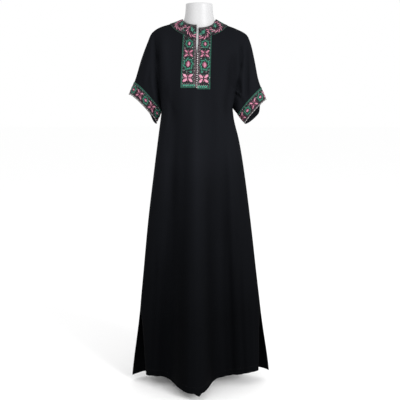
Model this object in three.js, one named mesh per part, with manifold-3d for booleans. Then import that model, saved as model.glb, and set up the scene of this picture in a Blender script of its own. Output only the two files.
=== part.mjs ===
// A full-length kaftan with short kimono sleeves, on a limbless dress form with a round stand.
// Millimetres, +Z up. The front faces -Y and the wearer's left is +X.
// The origin is on the stand's underside, on the floor below the neck.
//
// The front and the back are each cut in one with their sleeves. Both hang as a T-shaped sheet:
// a yoke from the shoulder seam to the armpit level, a skirt below it, and a sleeve at each side.
// A point on a sheet is found from how far it lies across (0 at the centre, 1 at the side)
// and how far it lies down, and every wall, band and the form's shoulders come from those points.
import * as THREE from "three";
import { mergeVertices } from "three/addons/utils/BufferGeometryUtils.js";
import Module from "manifold-3d";

const { lerp, clamp, smoothstep } = THREE.MathUtils;
const wasm = await Module();
wasm.setup();

// ---------------------------------------------------------------- driving dimensions
const CLOTH = 2; // cloth wall
const SEAM_GAP = 0.4; // between two pieces at a seam
const BAND = 1.2; // embroidered band's wall
const BAND_GAP = 0.3; // band above the panel it lies on
const FORM_GAP = 0.6; // form's shoulders under the cloth
const FORM_NECK_GAP = 3; // the same at the neckline's edge

const NECK = { half: 64, centre: -1.5, z: 1472 }; // neckline at the shoulder seam
const SHOULDER_ROUND = 90; // height over which the shoulder rounds over
const RING_POWER = 0.55; // under 1 squares the body's cross-section
const ARM_POWER = 3; // how closely the armhole's depth keeps to the side of the yoke
const SLEEVE_POWER = 0.8; // the same for the sleeve's
const CUFF_WIDTH = 46;
const COLLAR = { halfWidth: 117, centreZ: 1480, frontDrop: 90, backDrop: 74 };
const PLACKET = { half: 56, bottom: 1208 };
const NECK_SLIT = { open: 6, closed: 0.8, closedBelow: 1326 };
const SIDE_SLIT = { top: 345, frontShift: 14, backShift: 45, power: 5 };
const RIDGE = { right: 92, left: 72, power: 3 }; // half-widths of the fold that falls at centre front

// Columns: centre to side. Rows: shoulder to armpit, and armpit to hem.
const ACROSS = 12;
const NECK_COLUMNS = 5; // of ACROSS, these start at the neckline and the rest at the shoulder seam
const YOKE_ROWS = 12;
const SLIT_ROWS = 8; // of YOKE_ROWS, these are split by the neck slit
const SKIRT_ROWS = 16;
const SLEEVE_STEPS = 4;
const CUFF_STEPS = 2;

// Each side's outline, seen from the front: overarm seam from the neck point to the cuff,
// then the cuff's lower corner and the armpit.
const SIDES = {
  right: {
    sign: -1,
    tip: 3, // row of overarm at the shoulder's tip
    overarm: [
      { x: -65, z: 1472 },
      { x: -112, z: 1459 },
      { x: -158, z: 1444 },
      { x: -185, z: 1424 },
      { x: -202, z: 1388 },
      { x: -228, z: 1322 },
      { x: -252, z: 1246 },
      { x: -277, z: 1187 },
    ],
    armpit: 1128, // height
    cuffUnder: { x: -174, z: 1074 },
    slitInset: 69, // front edge of the side slit inside the back edge, at the hem
  },
  left: {
    sign: 1,
    tip: 3,
    overarm: [
      { x: 62, z: 1472 },
      { x: 100, z: 1456 },
      { x: 142, z: 1440 },
      { x: 182, z: 1418 },
      { x: 197, z: 1388 },
      { x: 214, z: 1322 },
      { x: 232, z: 1240 },
      { x: 262, z: 1167 },
    ],
    armpit: 1137,
    cuffUnder: { x: 181, z: 1075 },
    slitInset: 56,
  },
};

// Body sections from the armpit to the hem: how far each side reaches from the middle,
// how deep the front's flanks, its middle fold and the back are, and how square the back is.
const SECTIONS = [
  { z: 1140, right: 146, left: 128, flank: 131, ridge: 0, back: 106, square: 0.55 },
  { z: 1088, right: 153, left: 135, flank: 128, ridge: 4, back: 105, square: 0.55 },
  { z: 1009, right: 164, left: 155, flank: 119, ridge: 14, back: 107, square: 0.56 },
  { z: 890, right: 180, left: 176, flank: 103, ridge: 34, back: 112, square: 0.6 },
  { z: 687, right: 206, left: 204, flank: 82, ridge: 70, back: 120, square: 0.68 },
  { z: 440, right: 231, left: 234, flank: 65, ridge: 104, back: 130, square: 0.82 },
  { z: 271, right: 249, left: 256, flank: 56, ridge: 122, back: 138, square: 0.94 },
  { z: 101, right: 273, left: 283, flank: 48, ridge: 138, back: 146, square: 1 },
  { z: 30, right: 282, left: 292, flank: 45, ridge: 143, back: 149, square: 1 },
];

// The front's middle line: the neck slit, then the crest of the middle fold.
const FRONT_MIDDLE = [
  { z: 1472, x: -7 },
  { z: 1439, x: -8 },
  { z: 1209, x: -14 },
  { z: 30, x: -20 },
];

// Depth of the chest and of the back at the middle, above the armpit level.
const CHEST = [
  { z: 1472, depth: 44 },
  { z: 1439, depth: 62 },
  { z: 1400, depth: 84 },
  { z: 1350, depth: 104 },
  { z: 1300, depth: 118 },
  { z: 1250, depth: 127 },
  { z: 1208, depth: 131 },
  { z: 1128, depth: 131 },
];
const UPPER_BACK = [
  { z: 1472, depth: 42 },
  { z: 1460, depth: 50 },
  { z: 1400, depth: 84 },
  { z: 1330, depth: 102 },
  { z: 1250, depth: 107 },
  { z: 1128, depth: 106 },
];

// Swells and folds of each panel: a crest (out above 0) or a trough (below 0) along a line
// from one point to the other, with its half-width across and its run-out at each end.
const FRONT_FOLDS = [
  { name: "bust_right", x1: -92, z1: 1225, x2: -92, z2: 1200, half: 52, runOut: 85, out: 17 },
  { name: "bust_left", x1: 66, z1: 1225, x2: 66, z2: 1200, half: 52, runOut: 85, out: 17 },
  { name: "flank_right", x1: -150, z1: 900, x2: -205, z2: 40, half: 34, runOut: 260, out: 9 },
  { name: "flank_left", x1: 140, z1: 900, x2: 190, z2: 40, half: 34, runOut: 260, out: 10 },
  { name: "dip_right", x1: -110, z1: 700, x2: -150, z2: 40, half: 30, runOut: 240, out: -9 },
  { name: "dip_left", x1: 80, z1: 640, x2: 104, z2: 40, half: 30, runOut: 240, out: -10 },
  { name: "arm_right", x1: -168, z1: 1390, x2: -152, z2: 1170, half: 16, runOut: 40, out: -9 },
  { name: "arm_left", x1: 162, z1: 1350, x2: 180, z2: 1200, half: 13, runOut: 40, out: -7 },
  { name: "hollow_left", x1: 134, z1: 1270, x2: 130, z2: 1180, half: 24, runOut: 40, out: -8 },
];
const BACK_FOLDS = [
  { name: "blade_right", x1: -80, z1: 1330, x2: -80, z2: 1300, half: 50, runOut: 90, out: 9 },
  { name: "blade_left", x1: 80, z1: 1330, x2: 80, z2: 1300, half: 50, runOut: 90, out: 9 },
  { name: "flute_right", x1: -95, z1: 980, x2: -150, z2: 40, half: 44, runOut: 330, out: 24 },
  { name: "flute_left", x1: 88, z1: 1000, x2: 142, z2: 40, half: 44, runOut: 330, out: 26 },
  { name: "trough_right", x1: -40, z1: 660, x2: -62, z2: 40, half: 38, runOut: 220, out: -26 },
  { name: "trough_left", x1: 36, z1: 640, x2: 60, z2: 40, half: 38, runOut: 220, out: -24 },
  { name: "flute_middle", x1: 0, z1: 900, x2: -2, z2: 40, half: 36, runOut: 300, out: 16 },
];

const FRONT = {
  face: -1,
  neckDrop: 33,
  neckDepth: 62,
  upper: CHEST,
  armholeDepth: 66,
  sleeveDepth: 42,
  cuffShift: { right: -14, left: -8 }, // along the sleeve at the cuff's middle: hitched up
  flank: "flank",
  square: () => RING_POWER,
  ridge: true,
  folds: FRONT_FOLDS,
  hem: { right: 47, left: 64, middle: 34 },
  slitShift: SIDE_SLIT.frontShift,
  slitInset: true,
};
const BACK = {
  face: 1,
  neckDrop: 12,
  neckDepth: 50,
  upper: UPPER_BACK,
  armholeDepth: 60,
  sleeveDepth: 40,
  cuffShift: { right: -10, left: 13 },
  flank: "back",
  square: (z) => backSquare(z),
  ridge: false,
  folds: BACK_FOLDS,
  hem: { right: 20, left: 42, middle: 32 },
  slitShift: SIDE_SLIT.backShift,
  slitInset: false,
};

// Dress form under the cloth, and its stand.
const FORM_SECTIONS = [
  { z: 1430, half: 150, front: 60, back: 50 },
  { z: 1300, half: 148, front: 104, back: 88 },
  { z: 1210, half: 132, front: 118, back: 92 },
  { z: 1130, half: 120, front: 104, back: 88 },
  { z: 1060, half: 108, front: 86, back: 82 },
  { z: 1000, half: 112, front: 86, back: 86 },
  { z: 930, half: 130, front: 92, back: 96 },
  { z: 860, half: 142, front: 90, back: 96 },
  { z: 800, half: 138, front: 78, back: 88 },
];
const FORM_POWER = 0.75;
const FORM_ARM = { depth: 56, end: 0.66, clear: 4 }; // flat arm plate, its end down the armhole
const FORM_NECK = [
  { z: 1484, half: 55, front: 52, back: 50 },
  { z: 1506, half: 52, front: 49, back: 51 },
  { z: 1534, half: 51, front: 47, back: 53 },
  { z: 1540, half: 47, front: 43, back: 49 },
];
const POLE = { x: -8, radius: 12.5, flange: 30, flangeEdge: 4, collar: 17, collarTop: 26, sides: 20 };
const BASE = { halfWidth: 54, front: -75, back: 135, thickness: 12, bevel: 2 };
const PART_GAP = 0.3;

// ---------------------------------------------------------------- tables and curves
// A smooth value of one column of a table, read at a height.
function column(rows, name) {
  const sorted = [...rows].sort((a, b) => a.z - b.z);
  const slope = (i) => {
    const a = sorted[Math.max(i - 1, 0)];
    const b = sorted[Math.min(i + 1, sorted.length - 1)];
    return (b[name] - a[name]) / (b.z - a.z);
  };
  return (z) => {
    const held = clamp(z, sorted[0].z, sorted[sorted.length - 1].z);
    let i = sorted.findIndex((row) => row.z >= held);
    i = clamp(i, 1, sorted.length - 1) - 1;
    const span = sorted[i + 1].z - sorted[i].z;
    const t = (held - sorted[i].z) / span;
    const bend = t * (1 - t) * span;
    const line = lerp(sorted[i][name], sorted[i + 1][name], t);
    const chord = (sorted[i + 1][name] - sorted[i][name]) / span;
    return line + bend * ((1 - t) * (slope(i) - chord) - t * (slope(i + 1) - chord));
  };
}

const reach = { right: column(SECTIONS, "right"), left: column(SECTIONS, "left") };
const reachOf = (side) => (side.sign < 0 ? reach.right : reach.left);
const depthOf = { flank: column(SECTIONS, "flank"), back: column(SECTIONS, "back") };
const ridgeDepth = column(SECTIONS, "ridge");
const backSquare = column(SECTIONS, "square");
const frontMiddle = column(FRONT_MIDDLE, "x");
const upperDepth = new Map([FRONT, BACK].map((panel) => [panel, column(panel.upper, "depth")]));

const inFront = ({ x, z }) => new THREE.Vector3(x, 0, z);

// The overarm seam is one curve, cut in two at the shoulder's tip.
for (const side of Object.values(SIDES)) {
  const curve = new THREE.CatmullRomCurve3(side.overarm.map(inFront), false, "centripetal");
  curve.arcLengthDivisions = 400;
  const lengths = curve.getLengths();
  const tipShare = side.tip / (side.overarm.length - 1);
  const tipLength = lengths[Math.round(tipShare * (lengths.length - 1))];
  const whole = curve.getLength();
  side.armpitPoint = inFront({ x: side.sign * reachOf(side)(side.armpit), z: side.armpit });
  side.shoulderAt = (t) => curve.getPointAt((t * tipLength) / whole);
  side.overarmAt = (mm) => curve.getPointAt(clamp((tipLength + mm) / whole, 0, 1));
  side.overarmLength = whole - tipLength;
  side.underarm = inFront(side.cuffUnder).sub(side.armpitPoint);
}

// ---------------------------------------------------------------- the panels' points
const quarter = Math.PI / 2;
const middleX = (panel, z) => (panel.ridge ? frontMiddle(z) : 0);

// How far a fold pushes the cloth out at a place seen from the front.
function foldOut(fold, x, z) {
  const share = clamp((fold.z1 - z) / Math.max(fold.z1 - fold.z2, 1), 0, 1);
  const away = (x - lerp(fold.x1, fold.x2, share)) / fold.half;
  const past = Math.max(z - fold.z1, fold.z2 - z, 0) / fold.runOut;
  return fold.out * Math.exp(-away * away - past * past);
}

// All folds at a place. They die out towards the side; on the armhole line, only at its ends.
function foldsOut(panel, across, x, z, atSide = 0) {
  return lerp(1, atSide, across ** 6) * panel.folds.reduce((sum, fold) => sum + foldOut(fold, x, z), 0);
}

// Middle fold of the front: a rounded crest that deepens towards the hem.
function ridgeOut(panel, x, z) {
  if (!panel.ridge) return 0;
  const away = x - frontMiddle(z);
  const half = away < 0 ? RIDGE.right : RIDGE.left;
  return ridgeDepth(z) * Math.exp(-((Math.abs(away) / half) ** RIDGE.power));
}

// Skirt: across 0 to 1, down 0 at the armpit level to 1 at the hem.
function skirtPoint(panel, side, across, down) {
  const top = lerp((SIDES.right.armpit + SIDES.left.armpit) / 2, side.armpit, across);
  const hemSide = side.sign < 0 ? panel.hem.right : panel.hem.left;
  const hem = lerp(panel.hem.middle, hemSide, smoothstep(across, 0, 0.8));
  const z = lerp(top, hem, down);
  const slit = clamp((SIDE_SLIT.top - z) / SIDE_SLIT.top, 0, 1);
  const inset = panel.slitInset ? side.slitInset * slit : 0;
  const edge = side.sign * (reachOf(side)(z) - inset);
  const middle = middleX(panel, z);
  const x = middle + (edge - middle) * Math.sin(across * quarter);
  const round = Math.max(Math.cos(across * quarter), 0) ** panel.square(z);
  const depth =
    depthOf[panel.flank](z) * round +
    ridgeOut(panel, x, z) +
    foldsOut(panel, across, x, z) +
    panel.slitShift * slit * across ** SIDE_SLIT.power;
  const seam = across === 1 && z > SIDE_SLIT.top - 1;
  return cloth(panel, x, depth, z, seam, across === 1);
}

// A point of a panel, kept half a seam's gap from the other panel at its edge.
function cloth(panel, x, depth, z, seam, edge) {
  const point = new THREE.Vector3(x, panel.face * Math.max(depth, edge ? SEAM_GAP / 2 : 0), z);
  point.seam = seam;
  return point;
}

// Yoke: across 0 to 1, row 0 at the neckline or shoulder seam to YOKE_ROWS at the armpit level.
const rowShare = (row) => (1 - Math.cos((Math.PI * row) / YOKE_ROWS)) / 2;
const neckShare = NECK_COLUMNS / ACROSS;

function necklinePoint(panel, side, across) {
  const start = panel.ridge ? frontMiddle(NECK.z) : NECK.centre;
  const end = side.overarm[0].x;
  const x = lerp(start, end, Math.sin((across / neckShare) * quarter));
  const span = Math.abs(end - NECK.centre);
  const open = Math.sqrt(Math.max(1 - ((x - NECK.centre) / span) ** 2, 0));
  return new THREE.Vector3(x, panel.neckDepth * open, NECK.z - panel.neckDrop * open);
}

function yokeTop(panel, side, across) {
  if (across < neckShare) return necklinePoint(panel, side, across);
  return side.shoulderAt((across - neckShare) / (1 - neckShare));
}

const armholeHold = (t) => Math.sqrt(Math.max(Math.sin(Math.PI * t), 0));

function armholeDepth(panel, t) {
  return panel.armholeDepth * Math.sin(Math.PI * clamp(t, 0, 1)) ** SLEEVE_POWER;
}

function yokePoint(panel, side, across, row, slitSide = 0) {
  if (row === YOKE_ROWS) return skirtPoint(panel, side, across, 0);
  const top = yokeTop(panel, side, across);
  const share = rowShare(row);
  const foot = skirtPoint(panel, side, across, 0);
  let x = lerp(top.x, foot.x, share);
  const z = lerp(top.z, foot.z, share);
  const t = row / YOKE_ROWS;
  const round = Math.max(Math.cos(across * quarter), 0) ** RING_POWER;
  const arm = armholeDepth(panel, t) * Math.sin(across * quarter) ** ARM_POWER;
  const below = clamp((top.z - z) / SHOULDER_ROUND, 0, 1);
  const rounding = 1 - Math.sqrt(1 - (1 - below) ** 2);
  const chest = upperDepth.get(panel);
  const depth =
    Math.hypot(chest(z) * round, arm) +
    (top.y - chest(top.z) * round) * rounding +
    foldsOut(panel, across, x, z, armholeHold(t)) * (1 - rounding);
  x += (slitSide * slitWidth(z, row)) / 2;
  const seam = row === 0 && across >= neckShare;
  return cloth(panel, x, depth, z, seam, seam);
}

function slitWidth(z, row) {
  if (row >= SLIT_ROWS) return 0;
  return lerp(NECK_SLIT.closed, NECK_SLIT.open, smoothstep(z, NECK_SLIT.closedBelow, NECK.z - FRONT.neckDrop));
}

// Sleeve: step 0 at the armhole line to 1 at the cuff's edge, row 0 overarm to YOKE_ROWS underarm.
const CUFF_START = SLEEVE_STEPS / (SLEEVE_STEPS + CUFF_STEPS);

function alongSleeve(step, length) {
  if (step < CUFF_START) return (step / CUFF_START) * (length - CUFF_WIDTH);
  return length - (CUFF_WIDTH * (1 - step)) / (1 - CUFF_START);
}

function sleevePoint(panel, side, step, row, gap = SEAM_GAP) {
  if (step === 0) return yokePoint(panel, side, 1, row);
  const over = side.overarmAt(alongSleeve(step, side.overarmLength));
  const underLength = side.underarm.length();
  const under = side.underarm
    .clone()
    .multiplyScalar(alongSleeve(step, underLength) / underLength)
    .add(side.armpitPoint);
  const t = row / YOKE_ROWS;
  const point = over.clone().lerp(under, rowShare(row));
  const swell = Math.max(Math.sin(Math.PI * t), 0);
  const across = over.clone().sub(under).normalize();
  const down = new THREE.Vector3(across.z * side.sign, 0, -across.x * side.sign);
  const shift = side.sign < 0 ? panel.cuffShift.right : panel.cuffShift.left;
  point.addScaledVector(down, shift * swell * step ** 2);
  const size = lerp(panel.armholeDepth, panel.sleeveDepth, smoothstep(step, 0, 1));
  const bulge = 8 * Math.sin(Math.PI * step) ** 2;
  const folds = foldsOut(panel, 1, point.x, point.z, armholeHold(t)) * (1 - step ** 2);
  const depth = (size + bulge) * swell ** SLEEVE_POWER + folds;
  const seam = row === 0 || row === YOKE_ROWS;
  const placed = cloth(panel, point.x, depth, point.z, seam, seam);
  if (seam && gap === 0) placed.y = 0;
  return placed;
}

// ---------------------------------------------------------------- from points to walls
const range = (count) => [...Array(count).keys()];

// Quads of a grid of points, grid[row][column], turned so that they face the panel's way.
function gridQuads(grid, flip) {
  return range(grid.length - 1).flatMap((row) =>
    range(grid[row].length - 1).map((col) => {
      const quad = [grid[row][col], grid[row + 1][col], grid[row + 1][col + 1], grid[row][col + 1]];
      return flip ? quad.reverse() : quad;
    }),
  );
}

// Joins quads at shared places and finds each vertex's normal. Seam vertices share one normal
// with the other panel, square to Y, so that the two walls end face to face.
function sheet(quads) {
  const index = new Map();
  const points = [];
  const indexOf = (point) => {
    const key = [point.x, point.y, point.z].map((v) => Math.round(v * 1e3)).join();
    if (!index.has(key)) {
      index.set(key, points.length);
      points.push(point);
    }
    const at = index.get(key);
    points[at].seam ||= point.seam;
    return at;
  };
  const faces = quads.flatMap((quad) => {
    const [a, b, c, d] = quad.map(indexOf);
    return [
      [a, b, c],
      [a, c, d],
    ].filter((f) => new Set(f).size === 3);
  });
  const normals = points.map(() => new THREE.Vector3());
  for (const face of faces) {
    const [a, b, c] = face.map((i) => points[i]);
    const area = b.clone().sub(a).cross(c.clone().sub(a));
    face.forEach((i) => normals[i].add(area));
  }
  normals.forEach((normal, i) => {
    if (points[i].seam) normal.y = 0;
    normal.normalize();
  });
  return { points, faces, normals };
}

// Closed wall between two distances out from a sheet.
function wall({ points, faces, normals }, inner, outer) {
  const count = points.length;
  const at = (distance) => points.map((p, i) => p.clone().addScaledVector(normals[i], distance));
  const corners = [...at(outer), ...at(inner)];
  const triangles = faces.flatMap(([a, b, c]) => [
    [a, b, c],
    [a + count, c + count, b + count],
  ]);
  const edges = new Set(faces.flatMap(([a, b, c]) => [`${a} ${b}`, `${b} ${c}`, `${c} ${a}`]));
  for (const edge of edges) {
    const [a, b] = edge.split(" ").map(Number);
    if (edges.has(`${b} ${a}`)) continue;
    triangles.push([b, a, a + count], [b, a + count, b + count]);
  }
  return geometryOf(corners, triangles);
}

function geometryOf(corners, triangles) {
  return new THREE.BufferGeometry()
    .setAttribute("position", new THREE.Float32BufferAttribute(corners.flatMap((p) => [p.x, p.y, p.z]), 3))
    .setIndex(triangles.flat());
}

function solidOf(geometry) {
  const bare = geometry.clone();
  bare.deleteAttribute("normal");
  bare.deleteAttribute("uv");
  const merged = mergeVertices(bare, 1e-4);
  return new wasm.Manifold(
    new wasm.Mesh({
      numProp: 3,
      vertProperties: merged.attributes.position.array,
      triVerts: new Uint32Array(merged.index.array),
    }),
  );
}

function geometryFrom(solid) {
  const mesh = solid.getMesh();
  return new THREE.BufferGeometry()
    .setAttribute("position", new THREE.BufferAttribute(mesh.vertProperties, 3))
    .setIndex(new THREE.BufferAttribute(mesh.triVerts, 1));
}

// ---------------------------------------------------------------- the kaftan
const { right, left } = SIDES;

// Rows of points of the yoke from column `from` to `to`, counted from the middle towards a side.
function yokeGrid(panel, rows, side, slitSide) {
  return rows.map((row) =>
    range(ACROSS + 1).map((col) => yokePoint(panel, side, col / ACROSS, row, col === 0 ? slitSide : 0)),
  );
}

function panelQuads(panel) {
  return [right, left].flatMap((side) => {
    const slitSide = panel.ridge ? side.sign : 0;
    const yoke = yokeGrid(panel, range(YOKE_ROWS + 1), side, slitSide);
    const skirt = range(SKIRT_ROWS + 1).map((row) =>
      range(ACROSS + 1).map((col) => skirtPoint(panel, side, col / ACROSS, row / SKIRT_ROWS)),
    );
    const steps = SLEEVE_STEPS + CUFF_STEPS;
    const sleeve = range(YOKE_ROWS + 1).map((row) =>
      range(steps + 1).map((step) => sleevePoint(panel, side, step / steps, row)),
    );
    const flip = panel.face * side.sign > 0;
    return [yoke, skirt, sleeve].flatMap((grid) => gridQuads(grid, flip));
  });
}

const sheets = new Map([FRONT, BACK].map((panel) => [panel, sheet(panelQuads(panel))]));

// A prism along Y over an outline drawn in the front view, on one face of the garment.
function prism(outline, panel) {
  const depth = 220;
  const body = new THREE.ExtrudeGeometry(outline, { depth, bevelEnabled: false, curveSegments: 20 });
  body.rotateX(quarter);
  if (panel.face > 0) body.translate(0, depth, 0);
  return solidOf(body);
}

const COLLAR_TOP = NECK.z + 30;

// Half of the front band: the collar from the shoulder seam, then down the neck slit.
function frontBandOutline(side) {
  const slitEdge = (z) => frontMiddle(z) + side.sign * (NECK_SLIT.closed / 2);
  const outerEdge = (z) => frontMiddle(z) + side.sign * PLACKET.half;
  const outline = new THREE.Shape();
  const across = (z) => (outerEdge(z) - NECK.centre) / COLLAR.halfWidth;
  const cornerAngle = Math.asin(Math.abs(across(COLLAR.centreZ - COLLAR.frontDrop)));
  outline.moveTo(slitEdge(COLLAR_TOP), COLLAR_TOP);
  outline.lineTo(slitEdge(PLACKET.bottom), PLACKET.bottom);
  outline.lineTo(outerEdge(PLACKET.bottom), PLACKET.bottom);
  for (const step of range(13)) {
    const angle = lerp(cornerAngle, quarter, step / 12);
    outline.lineTo(
      NECK.centre + side.sign * COLLAR.halfWidth * Math.sin(angle),
      COLLAR.centreZ - COLLAR.frontDrop * Math.cos(angle),
    );
  }
  outline.lineTo(NECK.centre + side.sign * COLLAR.halfWidth, COLLAR_TOP);
  return outline;
}

function backBandOutline() {
  const outline = new THREE.Shape();
  outline.moveTo(NECK.centre + COLLAR.halfWidth, COLLAR_TOP);
  outline.lineTo(NECK.centre - COLLAR.halfWidth, COLLAR_TOP);
  for (const step of range(25)) {
    const angle = lerp(-quarter, quarter, step / 24);
    outline.lineTo(
      NECK.centre + COLLAR.halfWidth * Math.sin(angle),
      COLLAR.centreZ - COLLAR.backDrop * Math.cos(angle),
    );
  }
  return outline;
}

const BAND_IN = CLOTH / 2 + BAND_GAP;

// A band lies on the panel's own points, moved out, inside its outline.
function bandOn(panel, outline) {
  const over = solidOf(wall(sheets.get(panel), BAND_IN, BAND_IN + BAND));
  return geometryFrom(over.intersect(prism(outline, panel)));
}

// Ring round the sleeve's end, from both panels' points.
function cuffBand(side) {
  const quads = [FRONT, BACK].flatMap((panel) => {
    const grid = range(YOKE_ROWS + 1).map((row) =>
      range(CUFF_STEPS + 1).map((step) =>
        sleevePoint(panel, side, lerp(CUFF_START, 1, step / CUFF_STEPS), row, 0),
      ),
    );
    return gridQuads(grid, panel.face * side.sign > 0);
  });
  return wall(sheet(quads), BAND_IN, BAND_IN + BAND);
}

// ---------------------------------------------------------------- the dress form and its stand
const formHalf = column(FORM_SECTIONS, "half");
const formDepth = { [-1]: column(FORM_SECTIONS, "front"), 1: column(FORM_SECTIONS, "back") };

function formRing(panel, side, across, z) {
  const round = Math.max(Math.cos(across * quarter), 0) ** FORM_POWER;
  return new THREE.Vector3(
    side.sign * formHalf(z) * Math.sin(across * quarter),
    panel.face * formDepth[panel.face](z) * round,
    z,
  );
}

// The cloth's normal at a point of the yoke. On the shoulder seam and the armhole line it is
// shared by the front and the back.
function yokeNormal(panel, side, across, row) {
  const shared = across === 1 || (row === 0 && across >= neckShare);
  const sum = new THREE.Vector3();
  for (const each of shared ? [FRONT, BACK] : [panel]) {
    const { points, normals } = sheets.get(each);
    const on = yokePoint(each, side, across, row);
    sum.add(normals[points.findIndex((point) => point.distanceTo(on) < NECK_SLIT.open)]);
  }
  if (shared) sum.y = 0;
  return sum.normalize();
}

// The form's shoulders follow the inside of the cloth, then leave it for the form's own chest.
function formShoulder(panel, side, across, row) {
  const inside = yokePoint(panel, side, across, row);
  const gap = row < 2 && across <= neckShare ? FORM_NECK_GAP : FORM_GAP;
  inside.addScaledVector(yokeNormal(panel, side, across, row), -(CLOTH / 2 + gap));
  if (row === 0 && across >= neckShare) inside.y = 0;
  if (across === 1) {
    const swell = Math.sin(Math.PI * clamp(row / YOKE_ROWS / FORM_ARM.end, 0, 1));
    const plate = Math.min(FORM_ARM.depth * swell, Math.abs(inside.y) - FORM_ARM.clear);
    inside.y = panel.face * Math.max(plate, 0);
    inside.x -= side.sign * 2;
  }
  const own = formRing(panel, side, across, inside.z);
  return inside.lerp(own, smoothstep(rowShare(row), 0.12, 0.8));
}

function formGeometry() {
  const quads = [];
  const lowest = FORM_SECTIONS[FORM_SECTIONS.length - 1].z;
  const chestRows = range(YOKE_ROWS - 1);
  for (const panel of [FRONT, BACK]) {
    for (const side of [right, left]) {
      const flip = panel.face * side.sign > 0;
      const columns = range(ACROSS + 1);
      const upper = chestRows.map((row) => columns.map((col) => formShoulder(panel, side, col / ACROSS, row)));
      const start = columns.map((col) => upper[upper.length - 1][col].z);
      const lower = range(8).map((row) =>
        columns.map((col) => formRing(panel, side, col / ACROSS, lerp(start[col], lowest, row / 7))),
      );
      lower[0] = upper[upper.length - 1];
      quads.push(...gridQuads(upper, flip), ...gridQuads(lower, flip));
      const foot = lower[lower.length - 1];
      const centre = new THREE.Vector3(0, 0, lowest);
      quads.push(...gridQuads([foot, foot.map(() => centre)], flip));
      const neck = range(NECK_COLUMNS + 1).map((col) => upper[0][col]);
      const rings = FORM_NECK.map((ring) =>
        neck.map((_, col) => {
          const angle = (col / NECK_COLUMNS) * quarter;
          const depth = panel.face < 0 ? ring.front : ring.back;
          return new THREE.Vector3(
            NECK.centre + side.sign * ring.half * Math.sin(angle),
            panel.face * depth * Math.cos(angle),
            ring.z,
          );
        }),
      );
      const top = rings[rings.length - 1].map(() => new THREE.Vector3(NECK.centre, 0, FORM_NECK[3].z));
      quads.push(...gridQuads([neck, ...rings.slice(0, 1)], !flip));
      quads.push(...gridQuads([...rings, top], !flip));
    }
  }
  for (const side of [right, left]) {
    const plate = chestRows.map((row) => [
      formShoulder(FRONT, side, 1, row),
      formShoulder(BACK, side, 1, row),
    ]);
    quads.push(...gridQuads(plate, side.sign < 0));
  }
  const { points, faces } = sheet(quads);
  return geometryOf(points, faces);
}

function lathe(profile, sides) {
  const body = new THREE.LatheGeometry(profile.map(([r, z]) => new THREE.Vector2(r, z)), sides);
  return body.rotateX(quarter);
}

function poleGeometry() {
  const { x, radius, flange, flangeEdge, collar, collarTop, sides } = POLE;
  const top = FORM_SECTIONS[FORM_SECTIONS.length - 1].z - PART_GAP;
  const foot = BASE.thickness + PART_GAP;
  const profile = [
    [0, foot],
    [flange, foot],
    [flange, foot + flangeEdge],
    [collar, foot + flangeEdge + 2],
    [collar, foot + collarTop],
    [radius, foot + collarTop + 2],
    [radius, top],
    [0, top],
  ];
  return lathe(profile, sides).translate(x, 0, 0);
}

// Oblong plate with round ends, longer to the back.
function baseGeometry() {
  const { halfWidth, front, back, thickness, bevel } = BASE;
  const inner = halfWidth - bevel;
  const outline = new THREE.Shape();
  outline.absarc(0, back - halfWidth, inner, 0, Math.PI, false);
  outline.absarc(0, front + halfWidth, inner, Math.PI, 2 * Math.PI, false);
  const plate = new THREE.ExtrudeGeometry(outline, {
    depth: thickness - 2 * bevel,
    bevelThickness: bevel,
    bevelSize: bevel,
    bevelSegments: 2,
    curveSegments: 14,
  });
  return plate.translate(POLE.x, 0, bevel);
}

// ---------------------------------------------------------------- the scene graph
const BLACK_CREPE = new THREE.MeshStandardMaterial({ color: 0x0d0e10, roughness: 0.9, metalness: 0 });
const EMBROIDERY = new THREE.MeshStandardMaterial({ color: 0x3a3538, roughness: 0.8, metalness: 0 });
const WHITE_SHELL = new THREE.MeshStandardMaterial({ color: 0xe9e9ea, roughness: 0.45, metalness: 0 });
const WHITE_METAL = new THREE.MeshStandardMaterial({ color: 0xdedede, roughness: 0.35, metalness: 0 });

const PIECES = [
  { name: "front_panel", geometry: wall(sheets.get(FRONT), -CLOTH / 2, CLOTH / 2), material: BLACK_CREPE },
  { name: "back_panel", geometry: wall(sheets.get(BACK), -CLOTH / 2, CLOTH / 2), material: BLACK_CREPE },
  { name: "front_band_right", geometry: bandOn(FRONT, frontBandOutline(right)), material: EMBROIDERY },
  { name: "front_band_left", geometry: bandOn(FRONT, frontBandOutline(left)), material: EMBROIDERY },
  { name: "back_neck_band", geometry: bandOn(BACK, backBandOutline()), material: EMBROIDERY },
  { name: "cuff_band_right", geometry: cuffBand(right), material: EMBROIDERY },
  { name: "cuff_band_left", geometry: cuffBand(left), material: EMBROIDERY },
  { name: "dress_form", geometry: formGeometry(), material: WHITE_SHELL },
  { name: "stand_pole", geometry: poleGeometry(), material: WHITE_METAL },
  { name: "stand_base", geometry: baseGeometry(), material: WHITE_METAL },
];

const kaftan = new THREE.Group();
for (const { name, geometry, material } of PIECES) {
  const mesh = new THREE.Mesh(geometry, material);
  mesh.name = name;
  kaftan.add(mesh);
}

export default kaftan;
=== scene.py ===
"""Looks of a kaftan on a dress form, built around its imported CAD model.

The cloth is drawn again on the solids' own form, as thin shells with finer folds. The bands lie on
it, and the embroidery on the bands is stitched thread by thread. Shapes are in millimetres in the
row frame, and become metres where a mesh is made. On a panel, across runs from the middle (0) to the
side (1), t from the shoulder and overarm seam (0) to the armpit level and underarm (1), and down from
the armpit level (0) to the hem (1).
"""

import math

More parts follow.
